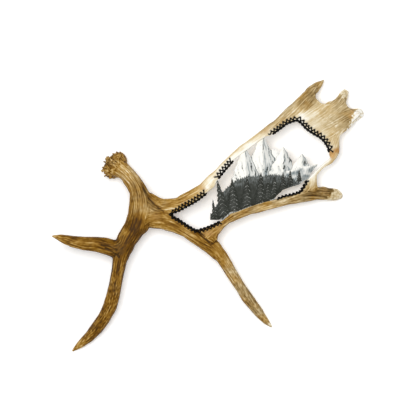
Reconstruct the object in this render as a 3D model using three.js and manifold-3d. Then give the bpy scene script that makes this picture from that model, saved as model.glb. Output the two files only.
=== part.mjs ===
// A young bull moose's shed antler with a pierced, carved palm, lying with the carved face up.
// Millimetres, +Z up. The origin is on the ground below the middle of the antler.
import * as THREE from "three";
import { mergeVertices } from "three/addons/utils/BufferGeometryUtils.js";
import Module from "manifold-3d";

const wasm = await Module();
wasm.setup();

// ---- Driving dimensions ----

const forkGap = 0.3; // saw-thin parting at each main fork
const laceGap = 0.3; // air between lacing and bone
const laceThickness = 1.8; // lacing's outer face above the bone
const laceReach = 10; // how far the lacing reaches over the rim from a window's edge
const laceEndMargin = 6; // bare edge beyond each end of a lacing
const plateHalfThickness = 5.5; // broad end of the palm
const carvingHalfThickness = 3; // carved scene's backing
const burrAxis = [0.68, -0.46, 0.55]; // the way the beam leaves the burr
const groundDepth = 60; // the block that levels the resting spots
const shiftToMiddle = [-2.7, 0.22, 0]; // from the stations' origin to the antler's own middle

// The palm's middle surface is a shallow dome, highest near its centre.
const palmDome = {
  startX: -109,
  startY: 7,
  heading: THREE.MathUtils.degToRad(29.6),
  baseHeight: 44,
  rise: 0.13,
  fallAlong: 0.00035,
  fallAcross: 0.0012,
};

function palmHeight(x, y) {
  const dx = x - palmDome.startX;
  const dy = y - palmDome.startY;
  const along = dx * Math.cos(palmDome.heading) + dy * Math.sin(palmDome.heading);
  const across = dy * Math.cos(palmDome.heading) - dx * Math.sin(palmDome.heading);
  const rise = palmDome.rise * along - palmDome.fallAlong * along ** 2;
  return palmDome.baseHeight + rise - palmDome.fallAcross * across ** 2;
}

// ---- Limbs: [x, y, z, half width, half thickness] at each station ----

// The beam from the burr, on through the brow branch to the tip of the long brow tine.
const beamAndBrow = [
  [-210, 114, 29.3, 22, 21],
  [-197, 105, 36, 21, 20],
  [-184, 93, 40.5, 19.5, 19],
  [-171, 78, 43, 19.5, 18.5],
  [-160, 60, 44.5, 20.5, 19],
  [-152, 39, 45, 25, 21],
  [-150, 18, 45, 28.5, 22],
  [-153, -2, 45, 27.5, 21],
  [-164, -28, 45, 25.5, 19.5],
  [-182, -55, 46, 23.5, 18],
  [-195, -78, 46, 21, 17],
  [-202, -102, 45, 17, 15.5],
  [-206, -128, 43, 15, 14.5],
  [-211, -153, 40, 15, 14.5],
  [-217, -181, 36, 16, 15],
  [-225, -209, 31, 16, 15],
  [-238, -236, 25, 15.5, 14.5],
  [-255, -259, 19, 15, 14],
  [-276, -282, 12, 12, 11.5],
  [-296, -299, 6.5, 8, 7.5],
  [-312, -313, 2, 1.5, 1.5],
];

const browTine = [
  [-190, -74, 46, 20, 16],
  [-214, -76, 47, 20.5, 16.5],
  [-233, -70, 49, 19, 15.5],
  [-254, -66, 52, 17, 14.5],
  [-284, -64, 57, 15, 13.5],
  [-312, -59, 63, 12.5, 11.5],
  [-336, -52, 69, 8.5, 8],
  [-355, -47, 75, 1.5, 1.5],
];

const palmRoot = [
  [-148, 30, 43, 30, 20],
  [-128, 16, 44, 32, 18],
  [-107, 6, 44, 34, 15],
  [-86, 0, 46, 34.5, 10],
  [-68, -6, 47, 27, 3],
];

// The bar below the lower window runs on into the rear tine.
const barAndRearTine = [
  [-132, 5, 44, 32, 18],
  [-98, -7, 44, 24, 14],
  [-70, -20, 44, 17, 12.5],
  [-47, -34, 42.5, 13.5, 11.5],
  [-24, -49, 40, 15, 12.5],
  [-5, -62, 37.5, 18, 13.5],
  [13, -74, 36, 18.5, 14],
  [31, -94, 34, 16, 14],
  [49, -123, 31, 15, 13.5],
  [69, -155, 26.5, 14.5, 13],
  [92, -190, 20, 14, 12.5],
  [117, -222, 12.5, 12, 10.5],
  [135, -244, 6, 7, 6.5],
  [145, -254, 2, 1.5, 1.5],
];

// Limbs of the palm: [x, y, lift above the dome, half width, half thickness]
const upperRim = [
  [-132, 23, -1, 16.5, 12],
  [-107, 23, 0, 16.5, 11],
  [-68, 28.5, 0, 14, 9.5],
  [-36, 43.5, 0, 13.5, 9],
  [-8.5, 61, 0, 12.5, 8.5],
  [16, 87, 0, 12, 8],
  [42, 113, 0, 12, 8],
  [67, 137, 0, 12, 8],
  [101, 161.5, 0, 12.5, 8],
  [131, 184.5, 0, 12.5, 8],
  [159, 206.5, 0, 13, 8.5],
  [185, 231, 0, 15, 9],
  [208, 253, -1, 17, 9],
  [229, 274, -3, 17, 8.5],
  [246, 291, -5, 11.5, 7],
  [259, 305, -7, 6, 4.5],
  [266, 313, -8, 1, 1],
];

const lowerRim = [
  [-8, -60, 1, 18.5, 12],
  [13, -38, 1, 18.5, 11],
  [33, -20, 0, 12, 9],
  [63, -2, 0, 10.5, 8],
  [98, 12, 0, 10.5, 8],
  [132, 23, 0, 11, 8],
  [167, 32, 0, 11.5, 8],
  [201, 42, 0, 12.5, 8],
  [231, 50, 0, 14.5, 8.5],
  [259, 51, -1, 14, 9],
  [284, 50, -2, 12.5, 8.5],
  [299, 48, -3, 10.5, 8],
  [308, 46, -2.5, 4, 3.5],
];

const endBridge = [
  [290, 184, 0, 15, 7],
  [291.5, 161, 0, 13, 6.5],
  [284, 143, 0, 10.5, 6],
  [270, 126, 0, 10.5, 5.5],
  [254, 112, 0, 11, 5.5],
  [241, 97, 0, 11.5, 6],
  [238, 78, 0, 13, 7],
  [240, 57, 0, 14, 8],
];

const middlePoint = [
  [273, 223, 0, 30, 7],
  [291, 244, -1, 22, 7],
  [306, 263, -3, 15, 6.5],
  [315, 278, -5, 10, 5.5],
  [320, 287, -6, 5.5, 3.5],
];

const endPoint = [
  [291, 209, 0, 27.5, 7],
  [314, 222, -3, 22.5, 7.5],
  [331, 230, -6, 16.5, 7],
  [345, 236, -9, 13, 6.5],
  [354, 239, -11, 10.5, 5.5],
  [358, 241, -12, 6, 3.5],
];

// The plate inside the palm's rims, which the rims' round edges overlap.
const palmOutline = [
  [-109, 30], [-68, 30], [-36, 46], [-8, 64], [17, 93], [43, 121], [70, 144], [102, 167],
  [132, 191], [160, 214], [183, 239], [206, 262], [227, 282], [245, 296], [254, 299],
  [247, 283], [248, 267], [259, 256], [275, 253], [291, 258], [304, 270], [312, 278],
  [319, 279], [317, 269], [316, 260], [321, 248], [332, 241], [344, 241], [352, 237],
  [346, 228], [335, 220], [319, 207], [305, 190], [298, 175], [297, 163], [298, 151],
  [289, 137], [273, 122], [260, 109], [246, 93], [245, 76], [256, 62], [273, 56],
  [291, 55], [300, 49], [291, 44], [256, 44], [229, 43], [197, 36], [164, 28], [132, 18],
  [100, 8], [68, -3], [43, -17], [22, -36], [13, -55], [-6, -67], [-29, -55], [-61, -37],
  [-91, -28], [-109, -23],
];

// ---- The window: laced edges, and the edges where the carved scene joins the rim ----
// All run anticlockwise round the opening, seen from above.

const laceEdges = {
  lacing_lower_left: [
    [14.8, 67], [-7.2, 50], [-30.3, 32.9], [-55.4, 18.9], [-75.5, 8.6], [-80.5, 4], [-76, -1],
    [-67.3, -6.9],
    [-46.3, -20.9], [-28.4, -31.8], [-22.2, -32.7], [-3.4, -26.8], [16.5, -18.8], [32.4, -10.8],
  ],
  lacing_slot: [
    [159.5, 40.2], [175.5, 47.2], [193.6, 53.2], [211.3, 58.1], [218.9, 69.7], [228.9, 83.8],
  ],
  lacing_top: [
    [282.7, 146.7], [279.8, 158.4], [269, 173.1], [251.2, 191], [230.2, 205], [221.1, 216],
    [209.6, 223.7], [197.4, 222.7], [178.6, 214.9], [162.8, 204], [140.8, 187],
  ],
  lacing_upper: [
    [69, 132.2], [53, 112.2], [39, 97.1], [29, 85.2],
  ],
};
const lowerJoin = [[52, 5], [71, 11], [98, 22], [123, 30], [145, 36]];
const rightJoin = [[240, 94], [254, 108], [268, 124], [279, 136]];
const upperJoin = [[122, 174], [98, 156]];

const windowOutline = [
  ...laceEdges.lacing_lower_left,
  ...lowerJoin,
  ...laceEdges.lacing_slot,
  ...rightJoin,
  ...laceEdges.lacing_top,
  ...upperJoin,
  ...laceEdges.lacing_upper,
];

// ---- The carved scene: snowy peaks, a moon, foothills and spruces ----

const sceneOutline = [
  [24, -7], [36, -14], [54, -1], [75, 7], [100, 16], [125, 24], [151, 31], [158, 44], [174, 59],
  [192, 66], [210, 71], [224, 81], [236, 85], [252, 97], [266, 113], [282, 129],
  [273, 131], [256, 122], [240, 121], [217, 142], [197, 122], [174, 159], [153, 120],
  [139, 152], [130, 179], [124, 186], [107, 147], [89, 159], [82, 163], [70, 129],
  [56, 87], [43, 55], [31, 25], [11, 2], [10, -5],
];

// [apex x, apex y, base x, base y, half width, half depth]
const peaks = [
  [84, 163, 92, 44, 50, 10],
  [126, 188, 128, 70, 55, 11],
  [174, 161, 174, 84, 42, 9],
  [217, 144, 216, 88, 38, 8],
];

const moon = { x: 152, y: 139, radius: 14, halfDepth: 4.5 };

// [base x, base y, apex x, apex y, half width]
const spruces = [
  [42, -11, 21, 85, 19],
  [63, 0, 55, 83, 19],
  [91, 12, 91, 80, 17],
  [17, -7, 12, 40, 9],
  [116, 20, 116, 74, 15],
  [139, 27, 140, 69, 12],
  [190, 74, 190, 103, 8],
  [211, 80, 211, 104, 6.5],
];
const spruceTiers = 3;
const spruceDepthShare = 0.42; // half depth over half width

// ---- Main forks: where each limb parts, and the way it runs there ----

const forks = [
  { at: [-98, 5], heading: [1, 0], reach: 48 },
  { at: [-162, -18], heading: [-0.5, -0.87], reach: 33 },
  { at: [-217, -76], heading: [-0.98, 0.18], reach: 24 },
  { at: [-203, -107], heading: [-0.2, -0.98], reach: 20 },
  { at: [13, -71], heading: [0.4, -0.92], reach: 25 },
];

// A spot inside each limb, which tells the parted solids from each other.
const limbSpots = {
  beam: [-160, 60],
  brow_branch: [-182, -55],
  brow_tine: [-284, -64],
  long_brow_tine: [-217, -181],
  palm: [185, 231],
  rear_tine: [69, -155],
};

// ---- Solids from three.js geometries, and back ----

function solidOf(geometry) {
  const bare = geometry.clone();
  bare.deleteAttribute("normal");
  bare.deleteAttribute("uv");
  const merged = mergeVertices(bare, 1e-3);
  return new wasm.Manifold(
    new wasm.Mesh({
      numProp: 3,
      vertProperties: new Float32Array(merged.attributes.position.array),
      triVerts: new Uint32Array(merged.index.array),
    }),
  );
}

function geometryOf(solid) {
  const mesh = solid.getMesh();
  const geometry = new THREE.BufferGeometry();
  geometry.setAttribute("position", new THREE.BufferAttribute(mesh.vertProperties, 3));
  geometry.setIndex(new THREE.BufferAttribute(mesh.triVerts, 1));
  geometry.computeVertexNormals();
  return geometry;
}

function joined(solids) {
  return solids.reduce((sum, solid) => sum.add(solid));
}

function moveVertices(geometry, move) {
  const position = geometry.attributes.position;
  const point = new THREE.Vector3();
  for (let i = 0; i < position.count; i++) {
    point.fromBufferAttribute(position, i);
    move(point);
    position.setXYZ(i, point.x, point.y, point.z);
  }
  return geometry;
}

const drape = (point) => (point.z += palmHeight(point.x, point.y));

// ---- Shapes ----

// A closed cylinder bent along the stations, its section an ellipse that changes as they say.
function limb(stations, { sides = 12, stepsPerSpan = 1, onPalm = false, grow = 0 } = {}) {
  const centres = stations.map(([x, y, z]) =>
    new THREE.Vector3(x, y, onPalm ? palmHeight(x, y) + z : z),
  );
  const sizes = stations.map(([, , , half, thick]) =>
    new THREE.Vector3(half + grow, thick + grow, 0),
  );
  const path = new THREE.CatmullRomCurve3(centres, false, "centripetal");
  const sizePath = new THREE.CatmullRomCurve3(sizes, false, "centripetal");
  const steps = (stations.length - 1) * stepsPerSpan;
  const skyward = new THREE.Vector3(0, 0, 1);
  return moveVertices(new THREE.CylinderGeometry(1, 1, 1, sides, steps), (point) => {
    const along = point.y + 0.5;
    const size = sizePath.getPoint(along);
    const tangent = path.getTangent(along);
    const side = new THREE.Vector3().crossVectors(tangent, skyward).normalize();
    const up = new THREE.Vector3().crossVectors(side, tangent);
    const { x, z } = point;
    point.copy(path.getPoint(along));
    point.addScaledVector(side, x * size.x).addScaledVector(up, z * size.y);
  });
}

function prism(points, low = -60, high = 140) {
  const shape = new THREE.Shape(points.map(([x, y]) => new THREE.Vector2(x, y)));
  const depth = high - low;
  return new THREE.ExtrudeGeometry(shape, { depth, bevelEnabled: false }).translate(0, 0, low);
}

// The domed slab that plates are cut from, laid out along the palm.
function domedSlab(halfThickness) {
  const length = 560;
  const width = 330;
  const slab = new THREE.BoxGeometry(length, width, 2 * halfThickness, 18, 11, 1);
  slab.translate(length / 2 - 20, -50, 0);
  slab.rotateZ(palmDome.heading);
  slab.translate(palmDome.startX, palmDome.startY, 0);
  return moveVertices(slab, drape);
}

function domedPlate(outline, halfThickness) {
  return solidOf(domedSlab(halfThickness)).intersect(solidOf(prism(outline)));
}

// Each point moved square to the line: to its right by a positive distance.
function offsetLine(points, distance, { closed = false } = {}) {
  const last = points.length - 1;
  return points.map(([x, y], i) => {
    const [ax, ay] = points[i > 0 ? i - 1 : closed ? last : 0];
    const [bx, by] = points[i < last ? i + 1 : closed ? 0 : last];
    const length = Math.hypot(bx - ax, by - ay);
    return [x + (distance * (by - ay)) / length, y - (distance * (bx - ax)) / length];
  });
}

function shortened(points, distance) {
  const pulled = ([x, y], [towardX, towardY]) => {
    const share = distance / Math.hypot(towardX - x, towardY - y);
    return [x + (towardX - x) * share, y + (towardY - y) * share];
  };
  const line = [...points];
  line[0] = pulled(points[0], points[1]);
  line[line.length - 1] = pulled(points.at(-1), points.at(-2));
  return line;
}

// The domed plate and every rounded limb of the palm, all thicker by grow.
function palmLimbs(grow = 0) {
  const rim = { sides: 10, onPalm: true, grow };
  return joined([
    domedPlate(palmOutline, plateHalfThickness + grow),
    solidOf(limb(palmRoot, { sides: 14, grow })),
    solidOf(limb(barAndRearTine, { sides: 12, grow })),
    solidOf(limb(upperRim, rim)),
    solidOf(limb(lowerRim, rim)),
    solidOf(limb(endBridge, rim)),
    solidOf(limb(middlePoint, rim)),
    solidOf(limb(endPoint, rim)),
  ]);
}

function peak([apexX, apexY, baseX, baseY, halfWidth, halfDepth]) {
  const height = apexY - baseY;
  const cone = new THREE.ConeGeometry(halfWidth, height, 10, 1);
  cone.scale(1, 1, halfDepth / halfWidth);
  return moveVertices(cone, (point) => {
    const share = point.y / height + 0.5;
    point.x += baseX + (apexX - baseX) * share;
    point.y += baseY + height / 2;
    drape(point);
  });
}

// Stacked cones, each tier smaller than the one below.
function spruce([baseX, baseY, apexX, apexY, halfWidth]) {
  const height = apexY - baseY;
  const tiers = [];
  for (let i = 0; i < spruceTiers; i++) {
    const foot = i / (spruceTiers + 0.6);
    const radius = halfWidth * (1 - 0.8 * foot);
    const tierHeight = height * (1 - foot) * (i === spruceTiers - 1 ? 1 : 0.75);
    const tier = new THREE.ConeGeometry(radius, tierHeight, 8, 1);
    tier.scale(1, 1, spruceDepthShare);
    moveVertices(tier, (point) => {
      const y = foot * height + point.y + tierHeight / 2;
      point.x += baseX + ((apexX - baseX) * y) / height;
      point.y = baseY + y;
      drape(point);
    });
    tiers.push(solidOf(tier));
  }
  return joined(tiers);
}

function carvedScene() {
  const disc = new THREE.CylinderGeometry(moon.radius, moon.radius, 2 * moon.halfDepth, 16);
  disc.rotateX(Math.PI / 2).translate(moon.x, moon.y, palmHeight(moon.x, moon.y));
  return joined([
    domedPlate(sceneOutline, carvingHalfThickness),
    ...peaks.map((each) => solidOf(peak(each))),
    ...spruces.map((each) => spruce(each)),
    solidOf(disc),
  ]);
}

// A disc with a domed seat beyond it, square to the beam where the beam begins.
function burr() {
  const profile = [
    [0, -20], [11, -19], [21, -16], [29.5, -11], [33, -5], [32, 1], [26, 6], [21.5, 14],
    [0, 14],
  ];
  const lathe = new THREE.LatheGeometry(
    profile.map(([radius, along]) => new THREE.Vector2(radius, along)),
    20,
  );
  const [x, y, z] = beamAndBrow[0];
  const axis = new THREE.Vector3(...burrAxis).normalize();
  const turn = new THREE.Quaternion().setFromUnitVectors(new THREE.Vector3(0, 1, 0), axis);
  return lathe.applyQuaternion(turn).translate(x, y, z);
}

// A thin upright wall across a limb, square to the way it runs.
function forkWall({ at, heading, reach }) {
  const wall = new THREE.BoxGeometry(forkGap, 2 * reach, 140);
  wall.rotateZ(Math.atan2(heading[1], heading[0]));
  return solidOf(wall.translate(at[0], at[1], 50));
}

// ---- The antler ----

const windowHole = solidOf(prism(windowOutline));
const ground = new THREE.BoxGeometry(900, 900, groundDepth).translate(0, 0, -groundDepth / 2);

function wholeAntler() {
  const palm = palmLimbs().subtract(windowHole).add(carvedScene());
  return joined([
    palm,
    solidOf(burr()),
    solidOf(limb(beamAndBrow, { sides: 14, stepsPerSpan: 1 })),
    solidOf(limb(browTine, { sides: 12, stepsPerSpan: 1 })),
  ]).subtract(solidOf(ground));
}

function partedAt(solid, walls) {
  return walls.reduce((rest, wall) => rest.subtract(forkWall(wall)), solid).decompose();
}

function holdsSpot(solid, [x, y]) {
  const probe = new THREE.BoxGeometry(2, 2, 200).translate(x, y, 50);
  return solid.intersect(solidOf(probe)).volume() > 0;
}

// The palm before it is carved, thicker all over and with the window's edge drawn in as much.
function grownPalm(grow) {
  const edge = offsetLine(windowOutline, -grow, { closed: true });
  return palmLimbs(grow).subtract(solidOf(prism(edge)));
}

// Each lacing is a channel that hugs a window's edge over, round and under the rim.
function lacing(edge) {
  const line = shortened(edge, laceEndMargin);
  const reach = offsetLine(line, laceReach);
  const drop = offsetLine(line, -2 * laceThickness);
  const strip = solidOf(prism([...reach, ...drop.reverse()]));
  return grownPalm(laceThickness).intersect(strip).subtract(grownPalm(laceGap));
}

// ---- Materials ----

const antler = new THREE.MeshStandardMaterial({ color: 0xa8834f, roughness: 0.6, metalness: 0 });
const paleAntler = new THREE.MeshStandardMaterial({ color: 0xc9b083, roughness: 0.6, metalness: 0 });
const blackLace = new THREE.MeshStandardMaterial({ color: 0x0c0b0a, roughness: 0.5, metalness: 0 });

// ---- The group ----

const group = new THREE.Group();

function addNode(name, solid, material) {
  const mesh = new THREE.Mesh(geometryOf(solid).translate(...shiftToMiddle), material);
  mesh.name = name;
  group.add(mesh);
}

const antlerSolid = wholeAntler();
const pieces = partedAt(antlerSolid, forks);
for (const [name, spot] of Object.entries(limbSpots)) {
  const solid = pieces.find((piece) => holdsSpot(piece, spot));
  addNode(name, solid, name === "palm" ? paleAntler : antler);
}
for (const [name, edge] of Object.entries(laceEdges)) {
  addNode(name, lacing(edge), blackLace);
}

export default group;
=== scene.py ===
# A young bull moose's shed antler, its palm pierced and carved with a winter scene,
# and the openings laced with black cord. Lengths in the dictionaries are millimetres.
import math
import random
from types import SimpleNamespace

import bmesh
import bpy
import numpy as np
from mathutils import Matrix, Vector, noise
from mathutils.bvhtree import BVHTree


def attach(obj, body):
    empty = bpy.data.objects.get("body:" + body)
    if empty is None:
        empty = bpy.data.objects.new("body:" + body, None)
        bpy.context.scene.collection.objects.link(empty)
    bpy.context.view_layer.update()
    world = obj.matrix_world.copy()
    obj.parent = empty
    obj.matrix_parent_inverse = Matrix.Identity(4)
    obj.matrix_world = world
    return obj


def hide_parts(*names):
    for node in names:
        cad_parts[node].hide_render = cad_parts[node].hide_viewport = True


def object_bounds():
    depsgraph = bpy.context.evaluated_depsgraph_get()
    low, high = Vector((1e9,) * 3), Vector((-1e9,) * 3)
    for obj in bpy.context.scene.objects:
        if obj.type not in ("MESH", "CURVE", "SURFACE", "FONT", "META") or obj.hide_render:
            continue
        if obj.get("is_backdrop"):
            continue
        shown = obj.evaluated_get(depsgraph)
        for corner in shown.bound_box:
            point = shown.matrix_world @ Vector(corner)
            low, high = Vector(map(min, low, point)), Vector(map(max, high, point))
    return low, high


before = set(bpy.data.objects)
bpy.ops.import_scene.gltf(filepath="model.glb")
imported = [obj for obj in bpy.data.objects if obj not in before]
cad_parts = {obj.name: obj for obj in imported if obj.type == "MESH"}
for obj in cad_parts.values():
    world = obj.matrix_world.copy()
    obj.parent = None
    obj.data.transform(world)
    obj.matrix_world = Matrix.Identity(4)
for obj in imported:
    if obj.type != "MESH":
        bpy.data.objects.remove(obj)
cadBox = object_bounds()
millimetre = 0.001
mergeGap = 1e-6  # metres


# Camera, floor and light
studio = {
    "cameraAim": (-1.5, 18.6, 45),
    "cameraHeight": 5000,
    "viewWidth": 956.8,
    "floorSize": 8000,
    "floorColour": (0.96, 0.96, 0.957),
    "floorGlow": 0.18,
    "skyStrength": 0.32,
    "clipEnd": 100,  # metres
    # power, width of the disc and place in metres
    "lights": {"key": (90, 2.2, (-0.5, 0.55, 3.3)), "fill": (12, 2.6, (1.2, -1.0, 2.6))},
}


def makeCamera():
    data = bpy.data.cameras.new("camera")
    reach = studio["cameraHeight"] - studio["cameraAim"][2]
    data.lens = data.sensor_width * reach / studio["viewWidth"]
    data.clip_end = studio["clipEnd"]
    eye = bpy.data.objects.new("camera", data)
    x, y, _ = studio["cameraAim"]
    eye.location = Vector((x, y, studio["cameraHeight"])) * millimetre
    bpy.context.collection.objects.link(eye)
    bpy.context.scene.camera = eye


def addAreaLight(name, power, size, place):
    data = bpy.data.lights.new(name, "AREA")
    data.shape = "DISK"
    data.size = size
    data.energy = power
    lamp = bpy.data.objects.new(name, data)
    lamp.location = place
    lamp.rotation_euler = (-Vector(place)).to_track_quat("-Z", "Y").to_euler()
    bpy.context.collection.objects.link(lamp)


def newObject(name, mesh):
    thing = bpy.data.objects.new(name, mesh)
    bpy.context.collection.objects.link(thing)
    return thing


def meshFromBmesh(name, bm, smooth=True):
    mesh = bpy.data.meshes.new(name)
    bm.to_mesh(mesh)
    bm.free()
    mesh.polygons.foreach_set("use_smooth", [smooth] * len(mesh.polygons))
    return mesh


makeCamera()
for name, (power, size, place) in studio["lights"].items():
    addAreaLight(name, power, size, place)
world = bpy.data.worlds.new("softRoom")
world.use_nodes = True
sky = world.node_tree.nodes["Background"].inputs
sky["Color"].default_value = (1, 1, 1, 1)
sky["Strength"].default_value = studio["skyStrength"]
bpy.context.scene.world = world
bpy.context.scene.view_settings.view_transform = "Standard"

floorBm = bmesh.new()
bmesh.ops.create_grid(
    floorBm, x_segments=1, y_segments=1, size=studio["floorSize"] / 2 * millimetre
)
floor = newObject("floor", meshFromBmesh("floor", floorBm, smooth=False))
floor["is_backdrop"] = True
print("camera, light and floor are set")


# Shader arithmetic

class Shade:
    # A socket in a material's node tree; arithmetic on it adds Math nodes.
    def __init__(self, tree, socket=None):
        self.tree = tree
        self.socket = socket

    def node(self, kind, settings, inputs, output=0):
        made = self.tree.nodes.new(kind)
        for name, value in settings.items():
            if name == "stops":
                elements = made.color_ramp.elements
                while len(elements) < len(value):
                    elements.new(1)
                for element, (position, colour) in zip(elements, value):
                    element.position = position
                    element.color = (*colour, 1)
            else:
                setattr(made, name, value)
        for name, value in inputs.items():
            if isinstance(value, Shade):
                self.tree.links.new(value.socket, made.inputs[name])
            else:
                made.inputs[name].default_value = value
        return Shade(self.tree, made.outputs[output])

    def maths(self, operation, first, second):
        return self.node("ShaderNodeMath", {"operation": operation}, {0: first, 1: second})

    def __add__(self, other):
        return self.maths("ADD", self, other)

    def __radd__(self, other):
        return self.maths("ADD", other, self)

    def __sub__(self, other):
        return self.maths("SUBTRACT", self, other)

    def __rsub__(self, other):
        return self.maths("SUBTRACT", other, self)

    def __mul__(self, other):
        return self.maths("MULTIPLY", self, other)

    def __rmul__(self, other):
        return self.maths("MULTIPLY", other, self)

    def step(self, low, high):
        return self.node(
            "ShaderNodeMapRange",
            {"interpolation_type": "SMOOTHSTEP"},
            {"Value": self, "From Min": low, "From Max": high},
        )

    def mixed(self, first, second):
        return self.node(
            "ShaderNodeMix", {"data_type": "RGBA"}, {0: self, 6: first, 7: second}, output=2
        )

    def bumped(self, strength, distance):
        return self.node(
            "ShaderNodeBump", {}, {"Strength": strength, "Distance": distance, "Height": self}
        )

    def measured(self, name, output="Fac"):
        return self.node("ShaderNodeAttribute", {"attribute_name": name}, {}, output)

    def noisy(self, vector, scale, detail, roughness):
        return self.node(
            "ShaderNodeTexNoise",
            {},
            {"Vector": vector, "Scale": scale, "Detail": detail, "Roughness": roughness},
        )

    def stretched(self, vector, factors):
        return self.node(
            "ShaderNodeVectorMath", {"operation": "MULTIPLY"}, {0: vector, 1: factors}
        )


def newMaterial(name):
    material = bpy.data.materials.new(name)
    material.use_nodes = True
    shader = material.node_tree.nodes["Principled BSDF"]
    tree = Shade(material.node_tree)
    where = tree.node("ShaderNodeTexCoord", {}, {}, "Object")
    return material, shader, tree, where


# A Shade is linked to the socket; anything else is the same all over and set on it.
def feed(shader, **values):
    for name, value in values.items():
        socket = shader.inputs[name.replace("_", " ")]
        if isinstance(value, Shade):
            shader.id_data.links.new(value.socket, socket)
        else:
            socket.default_value = value


def opaque(colour):
    return (*colour, 1)


# Noise, lines and tables of places
seedSpacing = 37.3


def fieldNoise(points, seed):
    shift = seedSpacing * seed
    return np.array([noise.noise((x + shift, y, z)) for x, y, z in points.tolist()])


def ramp(values, low, high):
    share = np.clip((values - low) / (high - low), 0, 1)
    return share * share * (3 - 2 * share)


def norms(table):
    return np.linalg.norm(table, axis=1)


def unit(table):
    return table / norms(table)[:, None]


# How far along its line each place lies.
def runLengths(places):
    return np.concatenate([[0], np.cumsum(norms(np.diff(places, axis=0)))])


# Unit ways to the right of a line's travel.
def rightOf(line):
    way = unit(np.gradient(line, axis=0))
    return np.stack([way[:, 1], -way[:, 0]], 1)


# Each point's distance from a spot in the plane, in radii.
def fromSpot(points, x, y, radius=1):
    return norms(points[:, :2] - (x, y)) / radius


# Points every step along a Catmull-Rom curve through the stations; any columns after
# the place are carried along.
def smoothLine(stations, step=2.0, places=3):
    table = np.array(stations, float)
    padded = np.vstack([2 * table[0] - table[1], table, 2 * table[-1] - table[-2]])
    rows = []
    for i in range(1, len(padded) - 2):
        a, b, c, d = padded[i - 1 : i + 3]
        count = max(2, int(np.linalg.norm((c - b)[:places]) / step))
        for t in np.arange(count) / count:
            rows.append(
                0.5
                * (
                    2 * b
                    + (c - a) * t
                    + (2 * a - 5 * b + 4 * c - d) * t**2
                    + (3 * b - a - 3 * c + d) * t**3
                )
            )
    rows.append(table[-1])
    return np.array(rows)


palmDome = {
    "start": (-111.7, 7.2),
    "heading": math.radians(29.6),
    "baseHeight": 44,
    "rise": 0.13,
    "fallAlong": 0.00035,
    "fallAcross": 0.0012,
}


def palmHeight(x, y):
    dx = x - palmDome["start"][0]
    dy = y - palmDome["start"][1]
    along = dx * math.cos(palmDome["heading"]) + dy * math.sin(palmDome["heading"])
    across = dy * math.cos(palmDome["heading"]) - dx * math.sin(palmDome["heading"])
    rise = palmDome["rise"] * along - palmDome["fallAlong"] * along**2
    return palmDome["baseHeight"] + rise - palmDome["fallAcross"] * across**2


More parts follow.
